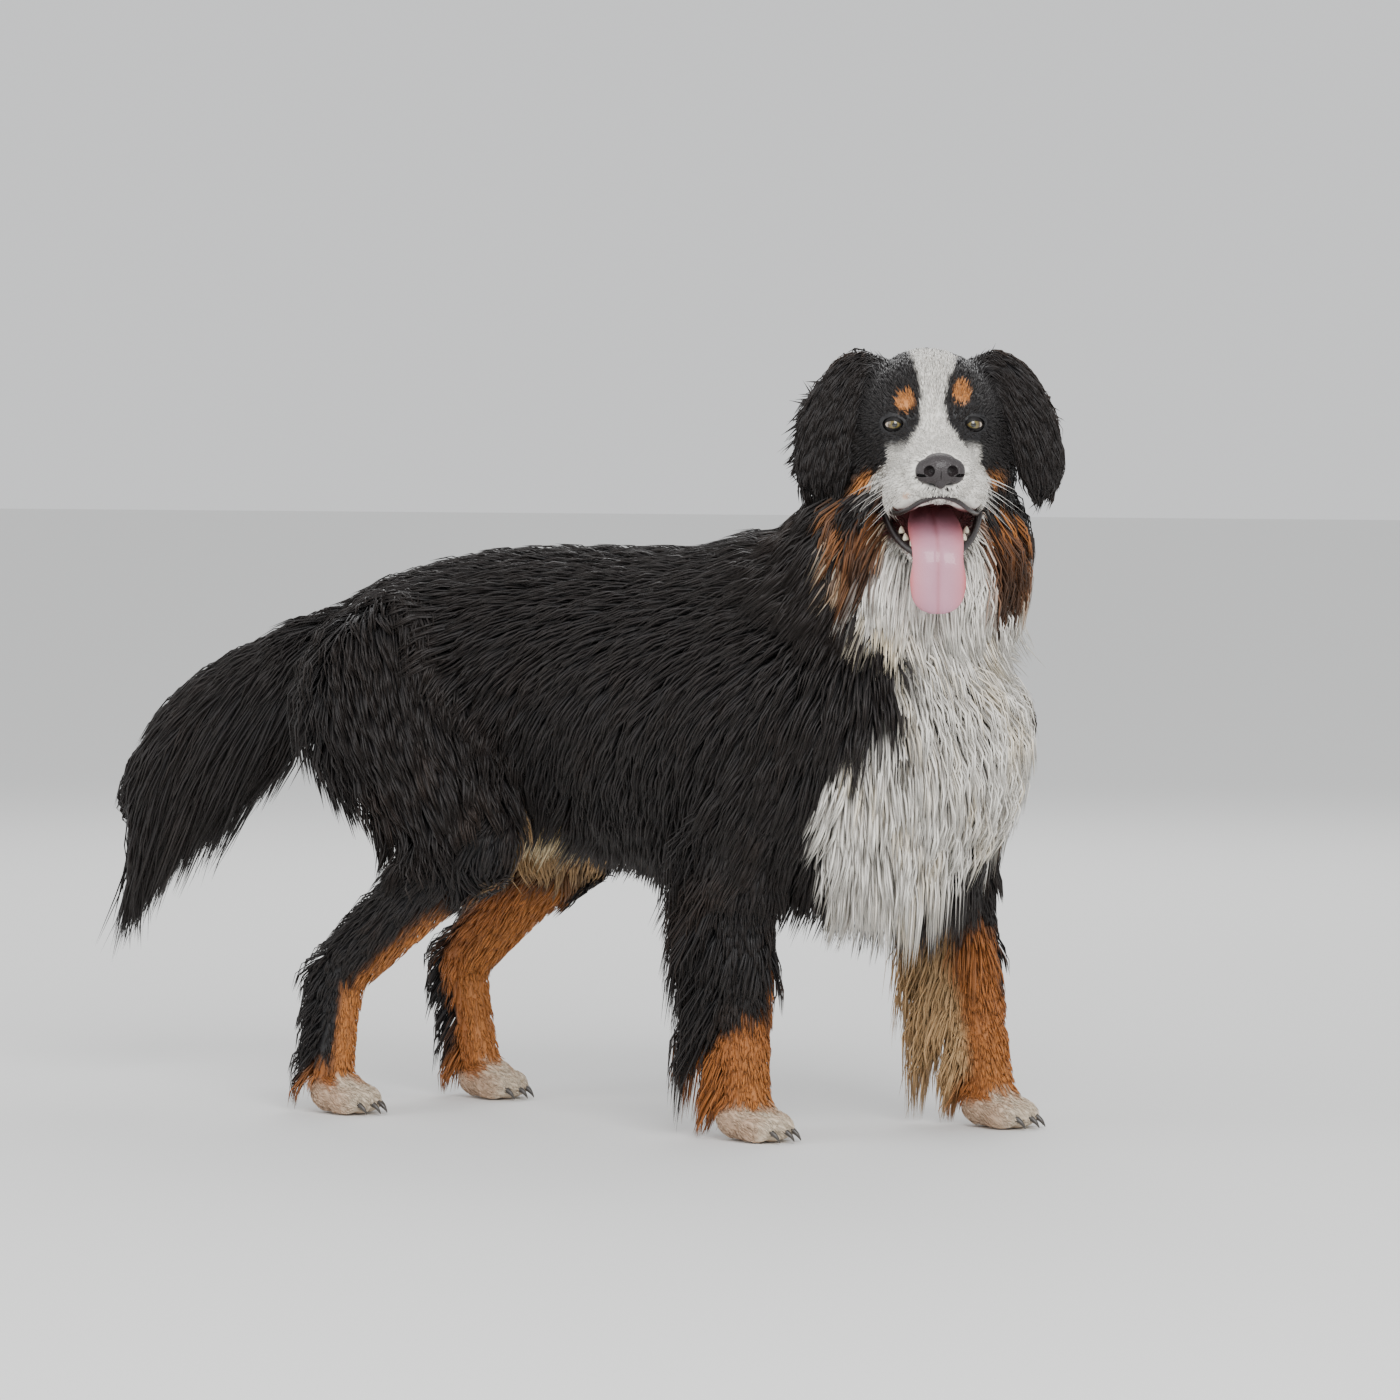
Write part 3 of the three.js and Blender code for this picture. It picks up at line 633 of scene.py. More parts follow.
@dataclass(frozen=True)
class Finish:
    """A surface's look.

    Args:
        name: the material's name.
        roughness: from mirror 0 to matt 1.
        color: its one colour, or None where the mesh's own colours are used.
        coat: strength of a wet, clear layer.
        grain: size of its pores in metres, or 0 for none.
        bump: depth of its pores or strands.
        strands: True for hair, streaked along its own map.
        sheen: strength of the soft shine of hair at its edges.
        mirror: strength of its plain reflection.
    """

    name: str
    roughness: float
    color: tuple[float, float, float] | None = None
    coat: float = 0.0
    grain: float = 0.0
    bump: float = 0.0
    strands: bool = False
    sheen: float = 0.0
    mirror: float = 0.5

    def make(self) -> bpy.types.Material:
        """Builds the material.

        Returns:
            The material.
        """
        material = bpy.data.materials.new(self.name)
        material.use_nodes = True
        tree = material.node_tree
        shader = tree.nodes["Principled BSDF"]
        shader.inputs["Roughness"].default_value = self.roughness
        shader.inputs["Coat Weight"].default_value = self.coat
        shader.inputs["Coat Roughness"].default_value = COAT_ROUGHNESS
        shader.inputs["Sheen Weight"].default_value = self.sheen
        shader.inputs["Specular IOR Level"].default_value = self.mirror
        if self.color is None:
            base = self.node(tree, "ShaderNodeAttribute", "Color", {"attribute_name": "Paint"})
            if self.strands:
                base = base * (STREAK_DARK + STREAK_RANGE * self.streaks(tree))
            tree.links.new(base.socket, shader.inputs["Base Color"])
        else:
            shader.inputs["Base Color"].default_value = (*self.color, 1)
        if self.bump:
            height = self.streaks(tree) if self.strands else self.pores(tree)
            inputs = {"Strength": self.bump, "Distance": BUMP_DEPTH, "Height": height}
            normal = self.node(tree, "ShaderNodeBump", "Normal", inputs=inputs)
            tree.links.new(normal.socket, shader.inputs["Normal"])
        return material

    def node(
        self,
        tree: bpy.types.NodeTree,
        kind: str,
        output: str,
        settings: dict[str, object] | None = None,
        inputs: dict[str, "Value | float"] | None = None,
    ) -> Value:
        """Adds a node.

        Args:
            tree: the material's node tree.
            kind: the node's type.
            output: the name of the output that is wanted.
            settings: its properties, by name.
            inputs: the values or links of its sockets, by name.

        Returns:
            The output.
        """
        made = tree.nodes.new(kind)
        for name, setting in (settings or {}).items():
            setattr(made, name, setting)
        for name, term in (inputs or {}).items():
            if isinstance(term, Value):
                tree.links.new(term.socket, made.inputs[name])
            else:
                made.inputs[name].default_value = term
        return Value(tree, made.outputs[output])

    def streaks(self, tree: bpy.types.NodeTree) -> Value:
        """Fine light and dark streaks along the strands.

        Args:
            tree: the material's node tree.

        Returns:
            The streaks' height.
        """
        where = self.node(tree, "ShaderNodeUVMap", "UV", {"uv_map": "Strand"})
        inputs = {"Vector": where, "Scale": STREAK_COUNT, "Detail": 1.0}
        return self.node(tree, "ShaderNodeTexNoise", "Fac", {"noise_dimensions": "2D"}, inputs)

    def pores(self, tree: bpy.types.NodeTree) -> Value:
        """A leathery grain.

        Args:
            tree: the material's node tree.

        Returns:
            The grain's height.
        """
        where = self.node(tree, "ShaderNodeTexCoord", "Object")
        inputs = {"Vector": where, "Scale": 1 / self.grain}
        return self.node(tree, "ShaderNodeTexVoronoi", "Distance", inputs=inputs)


HAIR = Finish("hair", 0.46, bump=0.3, strands=True, sheen=0.04, mirror=0.3)
SKIN = Finish("skin", 0.6, grain=0.004, bump=0.4)
NOSE = Finish("nose_leather", 0.42, color=(0.03, 0.024, 0.025), coat=0.15, grain=0.0016, bump=0.6)
LIPS = Finish("lip_skin", 0.36, color=(0.014, 0.008, 0.008), coat=0.25, grain=0.004, bump=0.35)
TONGUE_SKIN = Finish("tongue_skin", 0.42, coat=0.35, grain=0.0013, bump=0.25)
ENAMEL = Finish("enamel", 0.2, color=(0.78, 0.7, 0.55), coat=0.5)
EYE = Finish("eye_surface", 0.1, coat=0.8)
LID = Finish("lid_skin", 0.5, color=(0.006, 0.005, 0.005), mirror=0.25)
HORN = Finish("horn", 0.35, color=(0.05, 0.042, 0.036), coat=0.2)
WHISKER = Finish("whisker", 0.4, color=(0.7, 0.68, 0.64))
FLOOR = Finish("floor", 0.95, color=(0.8, 0.8, 0.79))


# Meshes

def place(points: np.ndarray) -> np.ndarray:
    """Points of the modelling frame, in millimetres, in the row's frame, in metres."""
    return (np.asarray(points, float) + OFFSET) * MM


def show(mesh: bpy.types.Mesh, name: str, finish: Finish, slot: str | None) -> bpy.types.Object:
    """Puts a mesh in the scene as one piece, with its finish.

    Args:
        mesh: the mesh, in the row's frame or still to be moved there.
        name: the piece's name.
        finish: its look.
        slot: the name of its material slot, which is not given to it here; a piece with one is attached to
            the dog's body, and None is for a piece of the studio.

    Returns:
        The piece.
    """
    made = bpy.data.objects.new(name, mesh)
    bpy.context.scene.collection.objects.link(made)
    mesh.materials.clear()
    mesh.materials.append(bpy.data.materials.get(finish.name) or finish.make())
    mesh.polygons.foreach_set("use_smooth", [True] * len(mesh.polygons))
    if slot:
        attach(made, BODY)
    log.info("%s: %d faces", name, len(mesh.polygons))
    return made


def shapes(parts: Sequence[Tube | Ball], name: str) -> bpy.types.Mesh:
    """Joins several shapes in one mesh.

    Args:
        parts: the shapes.
        name: the mesh's name.

    Returns:
        The mesh, still in millimetres.
    """
    bm = bmesh.new()
    for part in parts:
        part.build(bm)
    bmesh.ops.recalc_face_normals(bm, faces=bm.faces)
    mesh = bpy.data.meshes.new(name)
    bm.to_mesh(mesh)
    bm.free()
    return mesh


def melt(
    mesh: bpy.types.Mesh, voxel: float, smoothing: int, cut: Sequence[Tube | Ball] = ()
) -> bpy.types.Mesh:
    """The union of a mesh's shapes as one even, smoothed surface, with openings cut in it.

    Args:
        mesh: closed shapes that cross, in millimetres.
        voxel: the size of the faces.
        smoothing: times the surface is smoothed.
        cut: shapes taken away.

    Returns:
        A new mesh, also in millimetres.
    """
    blank = bpy.data.objects.new("blank", mesh)
    bpy.context.scene.collection.objects.link(blank)
    remesh = blank.modifiers.new("remesh", "REMESH")
    remesh.mode = "VOXEL"
    remesh.voxel_size = voxel
    relax = blank.modifiers.new("smooth", "SMOOTH")
    relax.factor = 0.5
    relax.iterations = smoothing
    knife = None
    if cut:
        knife = bpy.data.objects.new("knife", shapes(cut, "knife"))
        bpy.context.scene.collection.objects.link(knife)
        boolean = blank.modifiers.new("cut", "BOOLEAN")
        boolean.operation = "DIFFERENCE"
        boolean.solver = "MANIFOLD"
        boolean.object = knife
    bpy.context.view_layer.update()
    depsgraph = bpy.context.evaluated_depsgraph_get()
    made = bpy.data.meshes.new_from_object(blank.evaluated_get(depsgraph))
    for old in filter(None, (blank, knife)):
        bpy.data.objects.remove(old)
    return made


def corners(mesh: bpy.types.Mesh) -> np.ndarray:
    """Reads a mesh's points.

    Args:
        mesh: the mesh.

    Returns:
        The points, one a row.
    """
    flat = np.empty(len(mesh.vertices) * 3)
    mesh.vertices.foreach_get("co", flat)
    return flat.reshape(-1, 3)


def paint(mesh: bpy.types.Mesh, colors: np.ndarray) -> None:
    """Gives each point of a mesh its colour.

    Args:
        mesh: the mesh.
        colors: linear red, green and blue, one row a point.
    """
    layer = mesh.color_attributes.new("Paint", "FLOAT_COLOR", "POINT")
    layer.data.foreach_set("color", np.hstack((colors, np.ones((len(colors), 1)))).ravel())


def settle(mesh: bpy.types.Mesh) -> None:
    """Moves a mesh from the modelling frame to the row's."""
    mesh.vertices.foreach_set("co", place(corners(mesh)).ravel())
    mesh.update()


# Bones of the coat: where a point of the skin belongs and how its hair lies

DOWN = np.array([0.0, 0.0, -1.0])


@dataclass
class Spots:
    """Places on the skin, in the modelling frame.

    Args:
        at: points, mm.
        out: ways out of the skin.
        along: how far down their bone they are, 0 to 1.
        ahead: the bone's own direction there.
    """

    at: np.ndarray
    out: np.ndarray
    along: np.ndarray
    ahead: np.ndarray


@dataclass
class Lie:
    """How the hair of each place lies, in millimetres.

    Args:
        flow: the way it is combed.
        length: of a tuft.
        depth: height of its tip over the skin.
        width: of a tuft.
        hang: how far its weight bends it down.
        free: 0 where it follows the skin and 1 where it leaves it.
    """

    flow: np.ndarray
    length: np.ndarray
    depth: np.ndarray
    width: np.ndarray
    hang: np.ndarray
    free: np.ndarray

    def table(self) -> np.ndarray:
        """All of it as one row a place."""
        rest = (self.length, self.depth, self.width, self.hang, self.free)
        return np.column_stack((unit(self.flow), *(np.broadcast_to(r, len(self.flow)) for r in rest)))


def trunk_lie(s: Spots) -> Lie:
    """Lays back hair rearward and flank hair down, and lets chest and belly hair hang.

    Args:
        s: the places.

    Returns:
        How their hair lies.
    """
    x, _, z = s.at.T
    low = 1 - smooth(420, 640, z)
    front = smooth(170, 320, x)
    rear = smooth(320, 420, -x)
    below = smooth(-0.25, -0.8, s.out[:, 2])
    flow = np.column_stack(
        (
            -1 + 0.85 * front + 0.45 * rear + 0.35 * low,
            0.12 * s.out[:, 1],
            -0.12 - 1.3 * low - 1.3 * front - 0.7 * rear,
        )
    )
    length = 62 + 26 * low + 38 * front + 12 * rear + 6 * below
    depth = 19 + 7 * low + 20 * front + 8 * rear + 12 * below
    fall = 0.2 + 0.25 * front + 0.8 * below
    spread = 0.15 + 0.35 * front + 0.6 * below
    return Lie(flow, length, depth, 3.7 + 0 * x, fall, spread)


def neck_lie(s: Spots) -> Lie:
    """Lets the ruff fall down the neck, longest in front and below.

    Args:
        s: the places.

    Returns:
        How their hair lies.
    """
    back = smooth(-0.3, 0.7, -s.out[:, 0])
    flow = np.column_stack((-0.15 - 0.45 * back, 0.25 * s.out[:, 1], -np.ones(len(back))))
    length = 112 - 22 * back - 34 * smooth(690, 770, s.at[:, 2])
    depth = 48 - 14 * back - 14 * smooth(700, 780, s.at[:, 2])
    return Lie(flow, length, depth, 3.7 + 0 * back, 0.3 + 0 * back, 0.4 + 0 * back)


def head_lie(s: Spots) -> Lie:
    """Lays short hair back from the nose, and longer hair on the crown and cheeks.

    Args:
        s: the places.

    Returns:
        How their hair lies.
    """
    local = to_head(s.at)
    x, y, z = local.T
    side = smooth(25, 70, np.abs(y)) * smooth(30, -10, z)
    away = unit(local - np.array([168.0, 0.0, -30.0]))
    away = away + np.column_stack((-0.15 + 0 * x, 0 * y, -0.75 * side + 0.15 * smooth(0, 40, z)))
    crown = smooth(30, -60, x) * smooth(-30, 30, z)
    cheek = smooth(14, -34, x) * smooth(0, -50, z)
    muzzle = smooth(50, 75, x)
    length = 15 + 20 * crown + 30 * cheek - 7 * muzzle
    depth = 2.8 + 7 * crown + 13 * cheek - 1.5 * muzzle
    width = 1.9 + 1.0 * crown + 1.2 * cheek - 0.4 * muzzle
    return Lie(away @ HEAD_TURN.T, length, depth, width, 0.15 * cheek, 0.15 * cheek)


def ear_lie(s: Spots) -> Lie:
    """Lets silky hair hang past the flap of the ear.

    Args:
        s: the places.

    Returns:
        How their hair lies.
    """
    flow = s.ahead + 0.7 * DOWN
    length = 30 + 26 * s.along
    return Lie(flow, length, 5 + 6 * s.along, 2.4 + 0 * s.along, 0.35 + 0 * s.along, 0.25 + 0.35 * s.along)


def tail_lie(s: Spots) -> Lie:
    """Lays hair along the tail and lets it fall from it, longest below.

    Args:
        s: the places.

    Returns:
        How their hair lies.
    """
    below = smooth(0.5, -0.6, s.out[:, 2])
    flow = s.ahead + (0.2 + 1.15 * below)[:, None] * DOWN
    length = 105 + 150 * below - 60 * smooth(0.75, 1, s.along)
    return Lie(flow, length, 20 + 26 * below, 3.8 + 0 * below, 0.3 + 0.35 * below, 0.4 + 0.5 * below)


def limb_lie(
    front: tuple[float, float], behind: tuple[float, float], width: float
) -> Callable[[Spots], Lie]:
    """Hair that runs down a limb, with a fringe behind it.

    Args:
        front: length and depth before and beside the limb.
        behind: length and depth of the fringe.
        width: of a tuft.

    Returns:
        The function from places to how their hair lies.
    """

    def lie(s: Spots) -> Lie:
        """Lays hair down the bone, and back and down behind it.

        Args:
            s: the places.

        Returns:
            How their hair lies.
        """
        back = smooth(0.35, 0.85, -s.out[:, 0])
        flow = s.ahead + np.outer(back, (-0.9, 0, -0.2)) + 0.25 * DOWN
        length = front[0] + (behind[0] - front[0]) * back
        depth = front[1] + (behind[1] - front[1]) * back
        return Lie(flow, length, depth, width + 0.8 * back, 0.1 + 0.4 * back, 0.1 + 0.8 * back)

    return lie


def paw_lie(s: Spots) -> Lie:
    """Lays short hair towards the toes.

    Args:
        s: the places.

    Returns:
        How their hair lies.
    """
    flow = np.tile((1.0, 0.0, -0.45), (len(s.at), 1))
    one = np.ones(len(s.at))
    return Lie(flow, 12 * one, 2.2 * one, 1.9 * one, 0.1 * one, 0 * one)


@dataclass
class Bone:
    """A length of the body that its part of the coat follows.

    Args:
        tube: its shape.
        lie: how its hair lies.
        count: places along it where it is measured.
        frames: its centres, directions and half sizes at those places.
    """

    tube: Tube
    lie: Callable[[Spots], Lie]
    count: int = 18
    frames: tuple[np.ndarray, ...] = field(init=False)

    def __post_init__(self) -> None:
        """Works out the frames along it."""
        self.frames = self.tube.frames(self.count)

    def locate(self, at: np.ndarray) -> tuple[np.ndarray, np.ndarray, np.ndarray]:
        """Finds points along and round the bone.

        Args:
            at: the points.

        Returns:
            How far off its middle each is, as a share of its thickness, then where along and where round it.
        """
        best = np.full(len(at), 1e9)
        along, round_it = np.zeros(len(at)), np.zeros(len(at))
        for k in range(self.count):
            centre, ahead, aside, above, size = (part[k] for part in self.frames)
            off = at - centre
            a, s, t = off @ ahead, off @ aside, off @ above
            half = np.where(t > 0, size[1], size[2])
            far = np.sqrt((s / size[0]) ** 2 + (t / half) ** 2 + (a / size.max()) ** 2)
            better = far < best
            best = np.where(better, far, best)
            along = np.where(better, k / (self.count - 1), along)
            round_it = np.where(better, np.arctan2(t / half, s / size[0]) / (2 * math.pi) + 0.5, round_it)
        return best, along, round_it


@dataclass
class Skin:
    """The dog's skin: trunk, legs, tail, head and ears as one surface that the coat grows on.

    Args:
        voxel: size of its faces, mm.
        smoothing: times it is smoothed.
        cuff: height of the lower end of a leg over the floor, mm.
        bones: the lengths of the body that it is made of, by name.
    """

    voxel: float = 3.8
    smoothing: int = 4
    cuff: float = 44.0
    bones: dict[str, Bone] = field(default_factory=dict)

    def skeleton(self) -> None:
        """Lays out the bones of trunk, head, ears, tail and legs."""
        trunk = (1.0, 0.0, 0.0)
        self.bones["torso"] = Bone(Tube(TORSO, sides=32, facing=trunk), trunk_lie)
        self.bones["neck"] = Bone(Tube(NECK, sides=28, up=(-1, 0, 0.3)), neck_lie)
        self.bones["tail"] = Bone(Tube(TAIL, sides=14), tail_lie)
        self.bones["skull"] = Bone(Tube(SKULL, facing=trunk, power=2.2, head=True), head_lie)
        self.bones["jaw"] = Bone(Tube(JAW, facing=trunk, head=True), head_lie)
        for side in Side:
            name = side.name.lower()
            self.bones[f"ear_{name}"] = Bone(ear(side), ear_lie)
            self.foreleg(side)
            self.hindleg(side)
            for legs in ("foreleg", "hindleg"):
                x, y, _ = JOINTS[legs][side.value][3]
                self.bones[f"paw_{legs[:4]}_{name}"] = Bone(sole(x, y), paw_lie, 6)

    def foreleg(self, side: Side) -> None:
        """Lays out the bones of one foreleg.

        Args:
            side: the side of the dog.
        """
        name = side.name.lower()
        shoulder, elbow, knee, foot = JOINTS["foreleg"][side.value]
        cuff = (foot[0] + 2, foot[1], self.cuff)
        arm = limb(shoulder, elbow, (56, 52, 44), 0.78)
        forearm = limb(elbow, knee, (40, 31, 28), 0.85)
        pastern = limb(knee, cuff, (29, 25, 26), 0.88)
        self.bones[f"arm_{name}"] = Bone(arm, limb_lie((58, 15), (120, 40), 3.4), 8)
        self.bones[f"forearm_{name}"] = Bone(forearm, limb_lie((24, 7), (150, 56), 2.8), 8)
        self.bones[f"pastern_{name}"] = Bone(pastern, limb_lie((15, 4.0), (34, 12), 2.2), 6)

    def hindleg(self, side: Side) -> None:
        """Lays out the bones of one hind leg.

        Args:
            side: the side of the dog.
        """
        name = side.name.lower()
        hip, stifle, heel, foot = JOINTS["hindleg"][side.value]
        cuff = (foot[0] - 6, foot[1], self.cuff)
        thigh = limb(hip, stifle, (92, 78, 50), 0.64)
        shank = limb(stifle, heel, (44, 33, 26), 0.85)
        hock = limb(heel, cuff, (25, 22, 23), 0.88)
        self.bones[f"thigh_{name}"] = Bone(thigh, limb_lie((70, 17), (115, 44), 3.7), 8)
        self.bones[f"shank_{name}"] = Bone(shank, limb_lie((30, 7.5), (62, 22), 2.8), 8)
        self.bones[f"hock_{name}"] = Bone(hock, limb_lie((15, 4.0), (66, 34), 2.3), 6)

    def face(self) -> list[Ball]:
        """Fills out the face.

        Returns:
            Cheeks, ear roots, flews, brows and the swell of the eyes.
        """
        balls = [Ball((-40, 0, 56), (50, 44, 26)), Ball((118, 0, -24), (36, 22, 14))]
        for side in Side:
            s = side.value
            balls += [
                Ball((-16, s * 53, -30), (50, 36, 52)),
                Ball((-38, s * 52, 42), (38, 34, 30)),
                Ball((14, s * 52, -14), (34, 22, 26)),
                Ball((92, s * 33, -60), (50, 23, 27)),
                Ball((128, s * 20, -58), (26, 18, 21)),
                Ball((36, s * 33, 26), (28, 25, 18)),
                Ball((EYE_AT[0] - 1, s * EYE_AT[1], EYE_AT[2]), (13, 18, 15)),
            ]
        return balls

    def openings(self) -> list[Ball]:
        """The hollows that hold the eyes."""
        x, y, z = EYE_AT
        return [Ball((x + 8, s.value * (y + 2.5), z), (15, 12, 8.5), turn=s.value * EYE_TURN) for s in Side]

    def build(self) -> bpy.types.Object:
        """Makes the skin, still in the modelling frame.

        Returns:
            The skin.
        """
        self.skeleton()
        parts = [bone.tube for name, bone in self.bones.items() if not name.startswith("paw")]
        for legs, size in (("foreleg", 1.0), ("hindleg", 0.94)):
            for side in Side:
                x, y, _ = JOINTS[legs][side.value][3]
                parts += paw(x, y, size)
        mesh = melt(shapes(parts + self.face(), "skin_parts"), self.voxel, self.smoothing, self.openings())
        at = corners(mesh)
        at[:, 2] = np.maximum(at[:, 2], 0)
        mesh.vertices.foreach_set("co", at.ravel())
        mesh.update()
        out = np.empty(len(at) * 3)
        mesh.vertex_normals.foreach_get("vector", out)
        mesh.name = "skin"
        paint(mesh, markings(at, out.reshape(-1, 3)))
        made = show(mesh, "skin", SKIN, "coat_black")
        nodes = ["head", "lower_jaw", "neck", "torso", "tail_base", "tail_tip"]
        for side in ("left", "right"):
            limbs = ("ear", "arm", "foreleg", "thigh", "shank", "hock", "paw_fore", "paw_hind")
            nodes += [f"{limb_name}_{side}" for limb_name in limbs]
        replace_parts(made, *nodes)
        return made


@dataclass(frozen=True)
class Patch:
    """One piece of the coat.

    Args:
        name: the piece's name.
        bones: the bones that it grows round; a name that ends in _ takes both sides.
        tufts: how many it has.
        rings: sections of a tuft.
        clump: how far apart the locks are that its tufts gather in, mm, or 0.
        half: 1 for only the left half of the dog, -1 for the right, 0 for both.
    """

    name: str
    bones: tuple[str, ...]
    tufts: int
    rings: int = 4
    clump: float = 0.0
    half: int = 0

    def grows_on(self, name: str) -> bool:
        """Whether the bone of this name is one of its own."""
        return any(name == bone or (bone.endswith("_") and name.startswith(bone)) for bone in self.bones)


PATCHES = (
    Patch("coat_flank_left", ("torso",), 12000, 3, 17, 1),
    Patch("coat_flank_right", ("torso",), 12000, 3, 17, -1),
    Patch("coat_neck_left", ("neck",), 6800, 3, 16, 1),
    Patch("coat_neck_right", ("neck",), 6800, 3, 16, -1),
    Patch("coat_head", ("skull", "jaw"), 18800, 2, 0),
    Patch("coat_ears", ("ear_",), 6800, 3, 9),
    Patch("coat_tail", ("tail",), 6600, 3, 13),
    Patch("coat_arms", ("arm_",), 5400, 3, 14),
    Patch("coat_forelegs", ("forearm_", "pastern_"), 7600, 3, 8),
    Patch("coat_thighs", ("thigh_",), 7600, 3, 16),
    Patch("coat_shanks", ("shank_", "hock_"), 7200, 3, 9),
    Patch("coat_paws", ("paw_",), 5500, 2, 0),
)


# A tuft's sections: its width along it, and where its three corners stand, as shares of that width.
TUFT_TAPER = ((0, 0.35, 0.75, 1), (0.7, 1, 0.7, 0.12))
TUFT_ACROSS = (-0.5, 0.5, 0.0)
TUFT_HIGH = (-0.14, -0.14, 0.24)
PAINTED_TIP_GLOW = (0.012, 0.006, 0.002)  # painted warm glow of light added at a tuft's tip
COMB_GAP = 1.5  # least height over the floor of a tuft that is combed, mm
FLOOR_GAP = 1.2  # and of one that is gathered in a lock


class Ground:
    """The skin as the coat needs it: places to root in and the nearest surface.

    Args:
        mesh: the skin's mesh, in the modelling frame.
        bones: the bones by name.
    """

    def __init__(self, mesh: bpy.types.Mesh, bones: dict[str, Bone]) -> None:
        """Measures the skin's triangles and sorts them by bone.

        Args:
            mesh: the skin's mesh.
            bones: the bones by name.
        """
        at = corners(mesh)
        mesh.calc_loop_triangles()
        flat = np.empty(len(mesh.loop_triangles) * 3, dtype=np.int32)
        mesh.loop_triangles.foreach_get("vertices", flat)
        self.triangles = at[flat.reshape(-1, 3)]
        self.tree = BVHTree.FromPolygons(at.tolist(), flat.reshape(-1, 3).tolist())
        a, b, c = self.triangles.transpose(1, 0, 2)
        cross = np.cross(b - a, c - a)
        self.area = np.linalg.norm(cross, axis=1) / 2
        self.out = unit(cross)
        self.middle = (a + b + c) / 3
        self.names = list(bones)
        self.bones = bones
        far = np.array([bone.locate(self.middle)[0] for bone in bones.values()])
        self.zone = far.argmin(axis=0)
        self.bare = self.is_bare(self.middle, self.out)

    def is_bare(self, at: np.ndarray, out: np.ndarray) -> np.ndarray:
        """Finds where no hair grows: eyes, nose, inside of the mouth and soles.

        Args:
            at: points of the skin.
            out: the ways out of it there.

        Returns:
            True for each bare point.
        """
        local = to_head(at)
        x, y, z = local.T
        eyes = np.zeros(len(at), bool)
        for side in Side:
            off = local - np.array(EYE_AT) * (1, side.value, 1)
            ahead = (off[:, 0] > 0) & (off[:, 0] < 26)
            eyes |= (np.hypot(off[:, 1] / 12.5, off[:, 2] / 8.0) < 1) & ahead
        nose = (np.hypot(y / 25, (z + 37) / 17) < 1) & (x > 146)
        mouth = (np.abs(y) < 50) & (x > 6) & (x < 150)
        mouth &= (z < -66 - 0.05 * (x - 20)) & (z > -86 - 0.50 * (x - 20))
        roof = (out @ HEAD_TURN[:, 2] < -0.35) & (x > 20) & (x < 150) & (np.abs(y) < 40) & (z > -100)
        return eyes | nose | mouth | roof | ((at[:, 2] < 7) & (out[:, 2] < 0.2))

    def nearest(self, at: np.ndarray) -> tuple[np.ndarray, np.ndarray]:
        """Finds the nearest points of the skin.

        Args:
            at: the points to start from.

        Returns:
            The nearest points and the ways out of the skin there.
        """
        found = [self.tree.find_nearest(p) for p in at.tolist()]
        return np.array([f[0] for f in found]), np.array([f[1] for f in found])

    def lies(self, at: np.ndarray, out: np.ndarray) -> np.ndarray:
        """Works out how hair lies, blended from the bones near it.

        Args:
            at: the roots.
            out: the ways out of the skin there.

        Returns:
            Rows of a Lie's table.
        """
        total = np.zeros((len(at), 8))
        weight = np.zeros(len(at))
        near = np.array([bone.locate(at)[:2] for bone in self.bones.values()])
        closest = near[:, 0].min(axis=0)
        for (far, along), bone in zip(near, self.bones.values()):
            share = np.exp(-9 * (far - closest))
            some = share > 0.02
            if not some.any():
                continue
            k = np.clip((along[some] * (bone.count - 1)).round().astype(int), 0, bone.count - 1)
            spots = Spots(at[some], out[some], along[some], bone.frames[1][k])
            total[some] += bone.lie(spots).table() * share[some, None]
            weight[some] += share[some]
        return total / weight[:, None]


